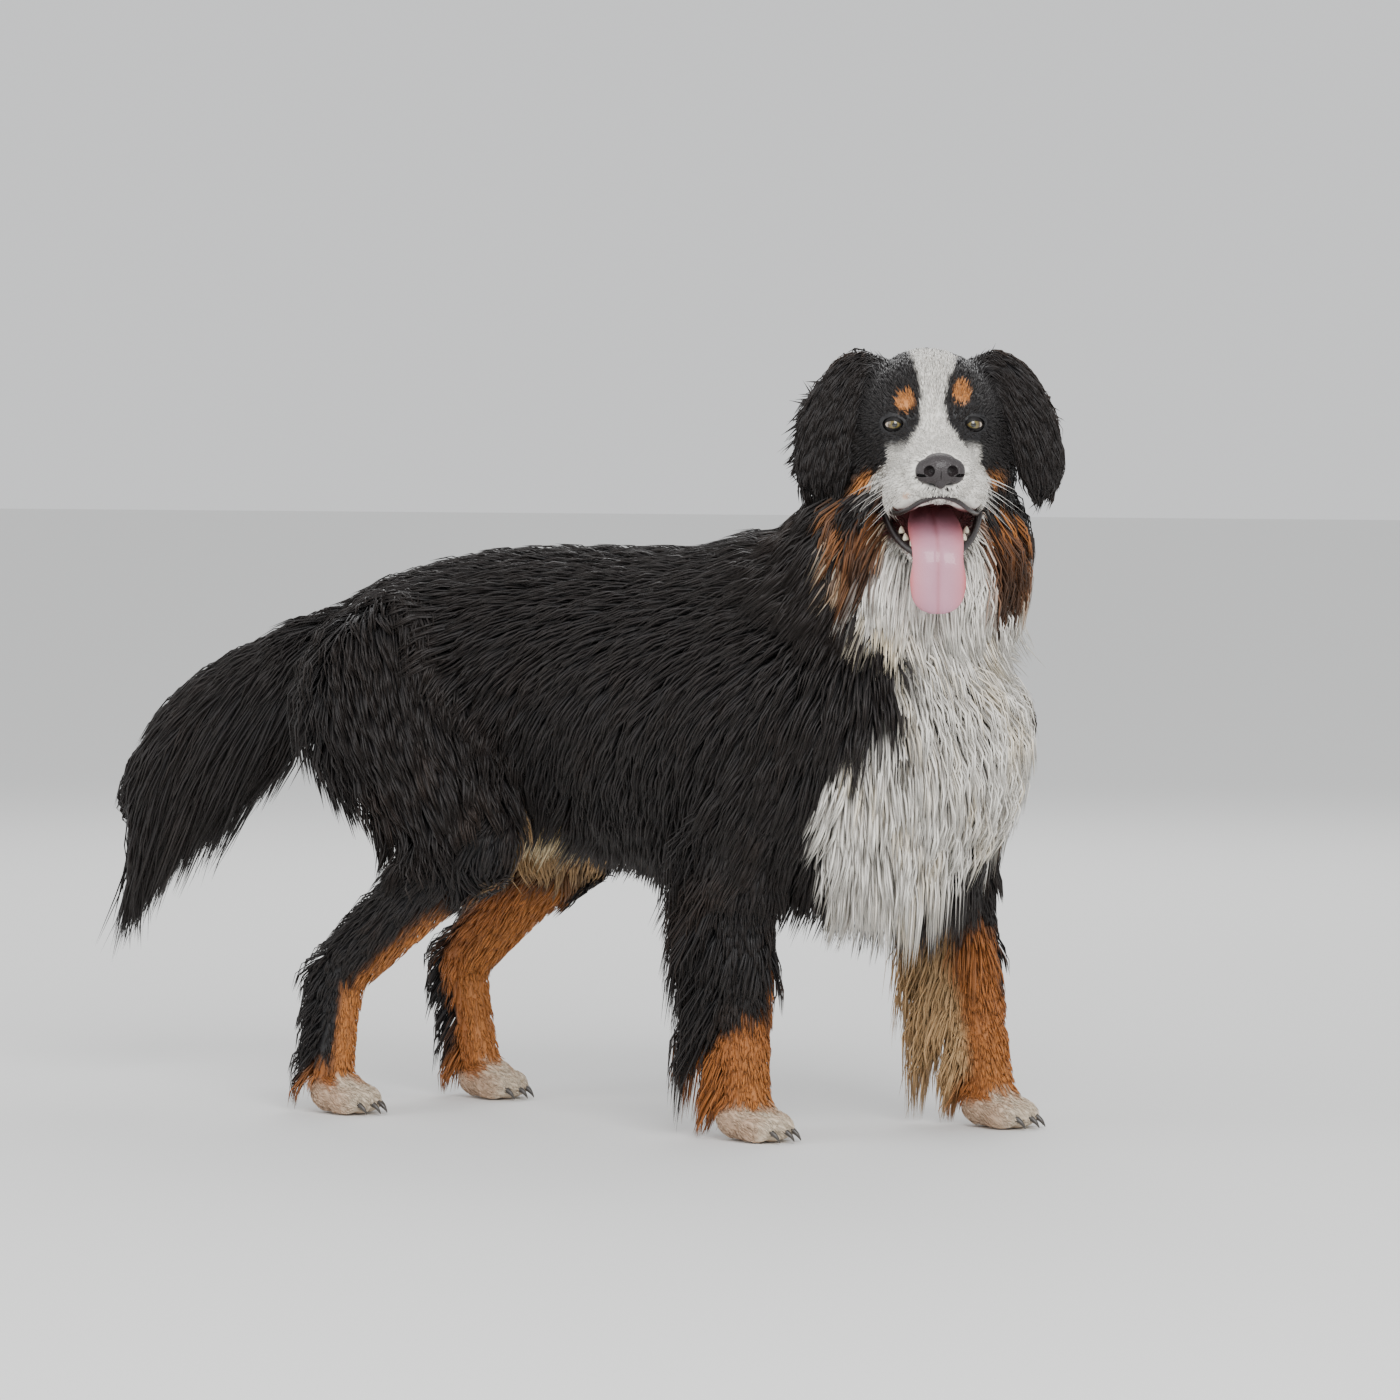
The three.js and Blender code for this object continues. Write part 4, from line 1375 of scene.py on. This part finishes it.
@dataclass
class Coat:
    """The coat: solid, tapered tufts rooted in the skin, combed along it and gathered in locks.

    Args:
        ground: what it grows on.
        random: the draws that vary it.
        sunk: how far roots are sunk in the skin, mm.
        lift: least height of a tuft over the skin, as a share of its depth.
        pull: how strongly tufts gather in locks.
        keep: how much of their spacing tufts of a lock keep at the tip.
        baked: size of a tuft's patch on the OFBake map.
    """

    ground: Ground
    random: np.random.Generator
    sunk: float = 2.0
    lift: float = 0.35
    pull: float = 0.62
    keep: float = 0.3
    baked: float = 0.003

    def roots(self, patch: Patch) -> tuple[np.ndarray, np.ndarray]:
        """Draws the roots of a patch, even over its area.

        Args:
            patch: the piece of the coat.

        Returns:
            The roots and the ways out of the skin there.
        """
        ground = self.ground
        mine = [patch.grows_on(name) for name in ground.names]
        use = np.array(mine)[ground.zone] & ~ground.bare
        if patch.half:
            use &= (ground.middle[:, 1] + 12 > 0) == (patch.half > 0)
        weight = np.where(use, ground.area, 0)
        picked = self.random.choice(len(weight), patch.tufts, p=weight / weight.sum())
        r1, r2 = np.sqrt(self.random.random(patch.tufts)), self.random.random(patch.tufts)
        a, b, c = ground.triangles[picked].transpose(1, 0, 2)
        at = (1 - r1)[:, None] * a + (r1 * (1 - r2))[:, None] * b + (r1 * r2)[:, None] * c
        return at, ground.out[picked]

    def comb(self, at: np.ndarray, out: np.ndarray, lie: np.ndarray, rings: int) -> np.ndarray:
        """The middle lines of tufts: their sections' places, from root to tip.

        Args:
            at: their roots.
            out: the ways out of the skin there.
            lie: rows of a Lie's table.
            rings: sections of a tuft before its tip.

        Returns:
            The places, by tuft, section and axis.
        """
        flow, length, depth, hang, free = unit(lie[:, :3]), lie[:, 3], lie[:, 4], lie[:, 6], lie[:, 7]
        length = length * self.random.uniform(0.72, 1.2, len(at))
        depth = depth * self.random.uniform(0.55, 1.15, len(at))
        flow = flow + self.random.normal(0, 0.1, flow.shape)
        normal = out.copy()
        here = at - self.sunk * out
        lines = [here]
        for k in range(rings):
            share = (k + 1) / rings
            rise = np.where(share < 0.7, depth / length * 1.6, 0)
            off = np.sum(flow * normal, axis=1)
            keep = np.where(off > 0, 0.5 * free, 0)
            way = unit(flow - normal * (off * (1 - keep))[:, None])
            way = unit(way + normal * rise[:, None] + DOWN * (hang * share)[:, None])
            here = here + way * (length / rings)[:, None]
            under, normal_there = self.ground.nearest(here)
            height = np.sum((here - under) * normal_there, axis=1)
            wanted = depth * (1 - (1 - share) ** 2)
            hugging = height + (wanted - height) * (1 - free)
            lifted = np.maximum(hugging, self.lift * wanted)
            here = here + normal_there * (lifted - height)[:, None]
            here[:, 2] = np.maximum(here[:, 2], COMB_GAP)
            normal = unit(normal + 1.6 * (1 - 0.6 * free)[:, None] * normal_there)
            lines.append(here)
        return np.array(lines).transpose(1, 0, 2)

    def gather(self, lines: np.ndarray, spacing: float) -> np.ndarray:
        """Pulls the tips of tufts together into locks.

        Args:
            lines: the tufts' middle lines.
            spacing: how far apart the locks are, mm.

        Returns:
            The new middle lines.
        """
        roots = lines[:, 0]
        order = self.random.permutation(len(roots))
        cells = np.floor(roots[order] / spacing).astype(int)
        _, first = np.unique(cells, axis=0, return_index=True)
        leaders = order[first]
        tree = KDTree(len(leaders))
        for i, leader in enumerate(leaders):
            tree.insert(roots[leader], i)
        tree.balance()
        near = np.array([tree.find(root)[1] for root in roots.tolist()])
        lead = lines[leaders[near]]
        share = np.linspace(0, 1, lines.shape[1])[None, :, None] ** 1.3
        same = np.sum(unit(lead[:, -1] - lead[:, 0]) * unit(lines[:, -1] - lines[:, 0]), axis=1) > 0.55
        pull = self.pull * share * same[:, None, None]
        target = lead + self.keep * (roots - lead[:, 0])[:, None, :]
        return lines + (target - lines) * pull

    def bodies(self, lines: np.ndarray, out: np.ndarray, width: np.ndarray) -> np.ndarray:
        """Gives tufts their three-sided sections.

        Args:
            lines: their middle lines.
            out: the ways out of the skin at their roots.
            width: their widths, mm.

        Returns:
            The points of each tuft: three a section, and then its tip.
        """
        count, sections = lines.shape[:2]
        ahead = unit(np.gradient(lines, axis=1))
        side = unit(np.cross(ahead, np.broadcast_to(out[:, None], ahead.shape)))
        twist = self.random.normal(0, 0.35, count)[:, None, None]
        top = np.cross(side, ahead)
        side, top = side * np.cos(twist) + top * np.sin(twist), top * np.cos(twist) - side * np.sin(twist)
        taper = np.interp(np.linspace(0, 1, sections)[:-1], *TUFT_TAPER)
        wide = (width * self.random.uniform(0.7, 1.25, count))[:, None] * taper
        across = side[:, :-1, None] * np.array(TUFT_ACROSS)[:, None]
        high = top[:, :-1, None] * np.array(TUFT_HIGH)[:, None]
        body = lines[:, :-1, None] + wide[:, :, None, None] * (across + high)
        return np.concatenate((body.reshape(count, -1, 3), lines[:, -1:]), axis=1)

    def mesh(self, name: str, points: np.ndarray) -> tuple[bpy.types.Mesh, np.ndarray]:
        """Joins tufts in one mesh.

        Args:
            name: the mesh's name.
            points: the points of each tuft.

        Returns:
            The mesh, and the point of each of its faces' corners.
        """
        count, size = points.shape[:2]
        faces = [(0, 2, 1)]
        for ring in range(0, size - 4, 3):
            for i in range(3):
                a, b = ring + i, ring + (i + 1) % 3
                faces += [(a, b, b + 3), (a, b + 3, a + 3)]
        faces += [(size - 4 + i, size - 4 + (i + 1) % 3, size - 1) for i in range(3)]
        loops = (np.arange(count)[:, None, None] * size + np.array(faces)).reshape(-1)
        mesh = bpy.data.meshes.new(name)
        mesh.vertices.add(count * size)
        mesh.vertices.foreach_set("co", place(points.reshape(-1, 3)).ravel())
        mesh.loops.add(len(loops))
        mesh.loops.foreach_set("vertex_index", loops)
        mesh.polygons.add(len(loops) // 3)
        mesh.polygons.foreach_set("loop_start", np.arange(0, len(loops), 3))
        mesh.update(calc_edges=True)
        return mesh, loops

    def bake_places(self, patch: Patch, at: np.ndarray) -> np.ndarray:
        """Finds the roots' places on the unrolled bones of a patch, one column a bone.

        Args:
            patch: the piece of the coat.
            at: the roots.

        Returns:
            Where round and where along, 0 to 1.
        """
        names = [name for name in self.ground.names if patch.grows_on(name)]
        far = np.full(len(at), 1e9)
        places = np.zeros((len(at), 2))
        for column, name in enumerate(names):
            distance, along, round_it = self.ground.bones[name].locate(at)
            better = distance < far
            far = np.where(better, distance, far)
            spot = np.column_stack(((column + 0.04 + 0.92 * round_it) / len(names), 0.02 + 0.96 * along))
            places = np.where(better[:, None], spot, places)
        return places

    def tufts(self, patch: Patch) -> None:
        """Makes one patch, with its maps and colours.

        Args:
            patch: the piece of the coat.
        """
        at, out = self.roots(patch)
        lie = self.ground.lies(at, out)
        lines = self.comb(at, out, lie, patch.rings)
        if patch.clump:
            lines = self.gather(lines, patch.clump)
            lines[:, :, 2] = np.maximum(lines[:, :, 2], FLOOR_GAP)
        count, sections = lines.shape[:2]
        mesh, loops = self.mesh(patch.name, self.bodies(lines, out, lie[:, 5]))
        across = np.append(np.tile((0.0, 1.0, 0.5), sections - 1), 0.5)
        down = np.append(np.repeat(np.linspace(0, 1, sections)[:-1], 3), 1.0)
        offset = np.column_stack((across - 0.5, down - 0.5)) * self.baked
        baked = np.clip(self.bake_places(patch, at)[:, None] + offset[None], 0, 1)
        mesh.uv_layers.new(name="OFBake").data.foreach_set("uv", baked.reshape(-1, 2)[loops].ravel())
        shifted = across + 7.3 * self.random.random((count, 1))
        strand = np.stack((shifted, np.tile(down * 1.2, (count, 1))), axis=2)
        mesh.uv_layers.new(name="Strand").data.foreach_set("uv", strand.reshape(-1, 2)[loops].ravel())
        # Each tuft's own random tone, times painted shade that darkens it towards the root and lightens it a
        # little towards the tip.
        tone_and_root_shade = self.random.uniform(0.8, 1.2, (count, 1, 1)) * (0.78 + 0.3 * down)[None, :, None]
        colors = markings(at, out)[:, None, :] * tone_and_root_shade
        # Painted glow of light: warm colour added, growing towards each tuft's tip.
        with_painted_tip_glow = colors + np.array(PAINTED_TIP_GLOW) * (down**2)[None, :, None]
        paint(mesh, np.clip(with_painted_tip_glow, 0, 1).reshape(-1, 3))
        show(mesh, patch.name, HAIR, "coat_black")

    def build(self) -> None:
        """Makes every patch."""
        for patch in PATCHES:
            self.tufts(patch)


# Eyes, nose, mouth and claws

@dataclass
class Eye:
    """One eye: a ball painted with its pupil and iris, and its two lids.

    Args:
        side: the side of the head.
        pupil: half angle of the pupil, radians.
        iris: half angle of the iris, radians.
        gaze: how far it looks outward, radians.
        lid: how far the lids stand off the ball's middle, mm.
        corner: how far out the lids meet, radians.
        upper: height of the upper lid's edge over the middle of the ball, mm.
        lower: height of the lower lid's edge, mm.
    """

    side: Side
    pupil: float = 0.25
    iris: float = 0.66
    gaze: float = 0.06
    lid: float = 12.9
    corner: float = 0.86
    upper: float = 4.6
    lower: float = -4.3

    def middle(self) -> np.ndarray:
        """The middle of the ball in the head's frame."""
        return np.array(EYE_AT) * (1, self.side.value, 1)

    def turned(self, points: np.ndarray, outward: float) -> np.ndarray:
        """Points round the ball's middle, turned outward and put in the head."""
        turn = rotation("Z", self.side.value * math.degrees(outward))
        return from_head(points @ turn.T + self.middle())

    def colors(self, angle: np.ndarray, around: np.ndarray) -> np.ndarray:
        """Colours the pupil, streaked iris, dark rim and white.

        Args:
            angle: from the pupil's middle, radians.
            around: the way round it, radians.

        Returns:
            The colours.
        """
        streak = 0.5 + 0.5 * np.sin(23 * around + 3 * np.sin(11 * around))
        colors = np.tile((0.5, 0.42, 0.34), (len(angle), 1))
        colors = mix(colors, (0.03, 0.012, 0.006), smooth(self.iris + 0.12, self.iris + 0.02, angle))
        colors = mix(colors, (0.085, 0.055, 0.012), smooth(self.iris + 0.01, self.iris - 0.1, angle))
        inner = smooth(self.iris - 0.1, self.pupil + 0.05, angle)
        colors = mix(colors, (0.17, 0.135, 0.03), inner * (0.5 + 0.5 * streak))
        return mix(colors, (0.002, 0.002, 0.002), smooth(self.pupil + 0.03, self.pupil - 0.02, angle))

    def ball(self) -> None:
        """The eyeball."""
        bm = bmesh.new()
        bmesh.ops.create_uvsphere(bm, u_segments=64, v_segments=48, radius=1)
        mesh = bpy.data.meshes.new("eye")
        bm.to_mesh(mesh)
        bm.free()
        local = corners(mesh)
        angle = np.arccos(np.clip(local[:, 2], -1, 1))
        paint(mesh, self.colors(angle, np.arctan2(local[:, 1], local[:, 0])))
        swell = EYE_RADIUS + 0.5 * smooth(self.iris, 0, angle)
        ahead = (local * swell[:, None]) @ rotation("Y", 90).T
        mesh.vertices.foreach_set("co", self.turned(ahead, self.gaze).ravel())
        settle(mesh)
        name = self.side.name.lower()
        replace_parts(show(mesh, f"eyeball_{name}", EYE, "eye"), f"eye_{name}")

    def lids(self) -> None:
        """The upper and lower lid, each part of a thin shell over the ball."""
        hinge = self.lid * math.cos(self.corner)
        for name, height in (("upper", self.upper), ("lower", self.lower)):
            rim = math.sqrt(self.lid**2 - height**2)
            slope = height / (rim - hinge)
            away = Vector((-slope, 0, 1)) * math.copysign(1, height)
            bm = bmesh.new()
            bmesh.ops.create_uvsphere(bm, u_segments=64, v_segments=40, radius=self.lid)
            for at, way in ((hinge, away), (-2, (1, 0, 0))):
                geom = bm.verts[:] + bm.edges[:] + bm.faces[:]
                bmesh.ops.bisect_plane(bm, geom=geom, plane_co=(at, 0, 0), plane_no=way, clear_inner=True)
            bmesh.ops.solidify(bm, geom=bm.faces[:], thickness=0.8)
            bmesh.ops.recalc_face_normals(bm, faces=bm.faces)
            sharp = [e for e in bm.edges if len(e.link_faces) == 2 and e.calc_face_angle() > 1.0]
            bmesh.ops.bevel(bm, geom=sharp, offset=0.25, segments=2, profile=0.5, affect="EDGES", material=-1)
            mesh = bpy.data.meshes.new("lid")
            bm.to_mesh(mesh)
            bm.free()
            mesh.vertices.foreach_set("co", self.turned(corners(mesh), EYE_TURN).ravel())
            settle(mesh)
            show(mesh, f"lid_{name}_{self.side.name.lower()}", LID, "lips")

    def build(self) -> None:
        """Makes the eye."""
        self.ball()
        self.lids()


@dataclass
class Nose:
    """The leather of the nose, with its nostrils.

    Args:
        voxel: size of its faces, mm.
    """

    voxel: float = 0.9

    def build(self) -> None:
        """Makes the nose."""
        leather = [
            Ball((160, 0, -36), (14, 24, 17)),
            Ball((151, 0, -28), (12, 19, 10)),
            Ball((163, 0, -48), (7, 7, 9)),
        ]
        holes = [Ball((176, 0, -50), (6, 0.8, 14))]
        for side in Side:
            s = side.value
            leather.append(Ball((159, s * 15, -38), (12.5, 12.5, 14), turn=s * 0.3))
            holes.append(Ball((172, s * 13, -37), (11.5, 6.2, 6.4), turn=s * 0.45))
            holes.append(Ball((167, s * 21, -42), (9, 7.5, 1.9), turn=s * 0.9))
        mesh = melt(shapes(leather, "nose_parts"), self.voxel, 4, holes)
        settle(mesh)
        mesh.name = "nose"
        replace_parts(show(mesh, "nose_leather", NOSE, "nose"), "nose")


@dataclass
class Mouth:
    """Lips, tongue and teeth.

    Args:
        upper: thickness of the upper lip's edge, mm.
        lower: thickness of the lower lip, mm.
    """

    upper: float = 2.4
    lower: float = 4.2

    def lips(self) -> None:
        """The wet edges of the lips, from one corner of the mouth round to the other."""
        for name, line, thick in (("upper", UPPER_LIP, self.upper), ("lower", LOWER_LIP, self.lower)):
            whole = [*line, *((x, -y, z) for x, y, z in line[-2::-1])]
            ends = {0: 0.4, len(whole) - 1: 0.4}
            stations = tuple(
                (*at, thick * ends.get(i, 1), 1.25 * thick * ends.get(i, 1), thick * ends.get(i, 1))
                for i, at in enumerate(whole)
            )
            mesh = shapes([Tube(stations, sides=14, steps=8, head=True)], f"lip_{name}")
            settle(mesh)
            show(mesh, f"lip_{name}", LIPS, "lips")

    def tongue(self) -> None:
        """The tongue, which hangs over the lower lip, with a groove down its middle."""
        mesh = shapes([Tube(TONGUE, sides=48, steps=10, up=(1, 0, 1), power=2.3, head=True)], "tongue")
        local = to_head(corners(mesh))
        centre = np.array(TONGUE)
        x, y, z = local.T
        down = smooth(-95, -185, z)
        groove = np.exp(-((y / 3.4) ** 2)) * 2.2 + 1.4 * (np.abs(y) / 28) ** 3 * down
        above = np.interp(z, centre[::-1, 2], centre[::-1, 0]) < x
        top = np.where(z > -119, z > np.interp(x, centre[:4, 0], centre[:4, 2]), above)
        local[:, 0] -= groove * top * smooth(100, 140, x)
        local[:, 2] -= groove * top * smooth(130, 100, x)
        wave = 1.4 * np.sin(z / 11.0 + y / 14.0) * down
        local[:, 0] += wave
        colors = np.tile((0.56, 0.2, 0.24), (len(local), 1))
        colors = mix(colors, (0.5, 0.235, 0.31), smooth(1, 0.3, np.abs(y) / 32) * top)
        colors = mix(colors, (0.52, 0.11, 0.11), smooth(0.8, 1.05, np.abs(y) / 31))
        # Painted shade: the back of the tongue, inside the mouth, is darkened.
        colors = mix(colors, (0.2, 0.05, 0.06), smooth(-104, -92, z) * smooth(95, 40, x))
        # Painted shade in the groove down the middle of the tongue's top.
        colors = mix(colors, (0.4, 0.12, 0.15), 0.5 * np.exp(-((y / 2.2) ** 2)) * top)
        paint(mesh, colors)
        mesh.vertices.foreach_set("co", from_head(local).ravel())
        settle(mesh)
        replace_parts(show(mesh, "tongue_flesh", TONGUE_SKIN, "tongue"), "tongue")

    def teeth(self) -> None:
        """The lower canines, incisors and cheek teeth that show beside the tongue."""
        teeth = []
        for side in Side:
            s = side.value
            places = [
                ((94, s * 24, -128), 4.2, 19),
                ((104, s * 12, -132), 2.2, 8),
                ((107, s * 6, -133), 2.0, 7),
            ]
            places += [((84 - 13 * i, s * (32 + 3.6 * i), -119 + 7.0 * i), 3.6, 8) for i in range(2)]
            for (x, y, z), thick, height in places:
                back, out = 0.12 * height, s * 0.1 * height
                stations = tuple(
                    (x - back * share**2, y + out * share, z + height * share, *(thick * w,) * 3)
                    for share, w in ((0, 1), (0.35, 0.95), (0.75, 0.55), (1, 0.12))
                )
                teeth.append(Tube(stations, sides=12, up=(1, 0, 0), head=True))
        mesh = shapes(teeth, "teeth")
        settle(mesh)
        show(mesh, "teeth_lower", ENAMEL, "tooth")

    def build(self) -> None:
        """Makes the mouth."""
        self.lips()
        self.tongue()
        self.teeth()


@dataclass
class Claws:
    """The claws of the four paws, one on each toe.

    Args:
        thick: half thickness at the root, mm.
    """

    thick: float = 3.6

    def build(self) -> None:
        """Makes the claws as one piece."""
        claws = []
        for legs, size in (("foreleg", 1.0), ("hindleg", 0.94)):
            for side in Side:
                x, y, _ = JOINTS[legs][side.value][3]
                for toe in range(4):
                    root = x + (36 if toe in (1, 2) else 26) * size + 14
                    at = y + (toe - 1.5) * 16 * size
                    curve = ((0, 15, 1), (6, 13.5, 0.95), (12, 9.5, 0.7), (16, 4.5, 0.3), (17, 2.2, 0.1))
                    stations = tuple((root + dx, at, z, *(self.thick * w,) * 3) for dx, z, w in curve)
                    claws.append(Tube(stations, sides=12))
        mesh = shapes(claws, "claws")
        settle(mesh)
        show(mesh, "claws", HORN, "claw")


@dataclass
class Whiskers:
    """Stiff white hairs of the flews.

    Args:
        rows: rows on each side.
        count: whiskers in a row.
        length: of the longest, mm.
        thick: half thickness at the root, mm.
    """

    rows: int = 3
    count: int = 5
    length: float = 62.0
    thick: float = 0.36

    def build(self) -> None:
        """Makes the whiskers as one piece."""
        hairs = []
        for side in Side:
            s = side.value
            for row in range(self.rows):
                for i in range(self.count):
                    share = i / (self.count - 1)
                    root = np.array((136 - 26 * share - 2 * row, s * (30 + 12 * share), -44 - 9.0 * row))
                    way = unit(np.array((0.35 - 0.5 * share, s * 0.9, -0.2 - 0.18 * row)))
                    length = self.length * (0.55 + 0.45 * ((3 * i + 2 * row) % 5) / 4)
                    stations = []
                    for t, w in ((0, 1), (0.35, 0.8), (0.7, 0.5), (1, 0.12)):
                        at = root + way * length * t + np.array((0, 0, -0.18)) * length * t**2
                        stations.append((*at, *(self.thick * w,) * 3))
                    hairs.append(Tube(tuple(stations), sides=5, steps=2, head=True))
        mesh = shapes(hairs, "whiskers")
        settle(mesh)
        show(mesh, "whiskers", WHISKER, "coat_white")


# The studio's lamps: name, place, side and power.
LAMPS = (
    ("key", (3.4, -4.0, 3.6), 3.0, 300),
    ("fill", (-3.4, -3.8, 2.2), 3.4, 80),
    ("rim", (-1.6, 3.8, 3.4), 3.0, 90),
)
LIT = (0, 0, 0.45)  # the point that they look at
SKY_COLOR = (0.86, 0.87, 0.88, 1)
SKY_STRENGTH = 1.05


@dataclass
class Studio:
    """The floor, the lights and the camera.

    Args:
        camera_at: the camera's place in the row's frame, metres.
        aim: the point it looks at.
        lens: focal length, mm.
        sensor: width of the sensor, mm.
    """

    camera_at: tuple[float, float, float] = (3.4625, -6.1651, 0.81)
    aim: tuple[float, float, float] = (0.1765, 0.0159, 0.488)
    lens: float = 156.6
    sensor: float = 36.0

    def floor(self) -> None:
        """A wide, pale floor."""
        bm = bmesh.new()
        bmesh.ops.create_grid(bm, x_segments=1, y_segments=1, size=40)
        mesh = bpy.data.meshes.new("floor")
        bm.to_mesh(mesh)
        bm.free()
        show(mesh, "floor", FLOOR, None)

    def light(self, name: str, at: tuple[float, float, float], size: float, power: float) -> None:
        """Adds a square soft light that looks at the dog.

        Args:
            name: its name.
            at: its place, m.
            size: its side, m.
            power: its power, W.
        """
        lamp = bpy.data.lights.new(name, "AREA")
        lamp.size = size
        lamp.energy = power
        made = bpy.data.objects.new(name, lamp)
        made.location = at
        made.rotation_euler = (Vector(LIT) - Vector(at)).to_track_quat("-Z", "Y").to_euler()
        bpy.context.scene.collection.objects.link(made)

    def camera(self) -> None:
        """The camera at the photo's viewing angle."""
        lens = bpy.data.cameras.new("camera")
        lens.lens = self.lens
        lens.sensor_width = self.sensor
        made = bpy.data.objects.new("camera", lens)
        made.location = self.camera_at
        made.rotation_euler = (Vector(self.aim) - Vector(self.camera_at)).to_track_quat("-Z", "Y").to_euler()
        bpy.context.scene.collection.objects.link(made)
        bpy.context.scene.camera = made

    def build(self) -> None:
        """Makes the studio."""
        self.floor()
        for lamp in LAMPS:
            self.light(*lamp)
        world = bpy.data.worlds.new("studio")
        world.use_nodes = True
        sky = world.node_tree.nodes["Background"]
        sky.inputs["Color"].default_value = SKY_COLOR
        sky.inputs["Strength"].default_value = SKY_STRENGTH
        bpy.context.scene.world = world
        self.camera()


def main() -> None:
    """Builds the dog and its studio, one after another."""
    logging.basicConfig(level=logging.INFO, format="%(message)s")
    skin = Skin()
    made = skin.build()
    ground = Ground(made.data, skin.bones)
    settle(made.data)
    Coat(ground, np.random.default_rng(SEED)).build()
    for side in Side:
        Eye(side).build()
    for part in (Nose(), Mouth(), Claws(), Whiskers(), Studio()):
        part.build()


if __name__ == "__main__":
    main()
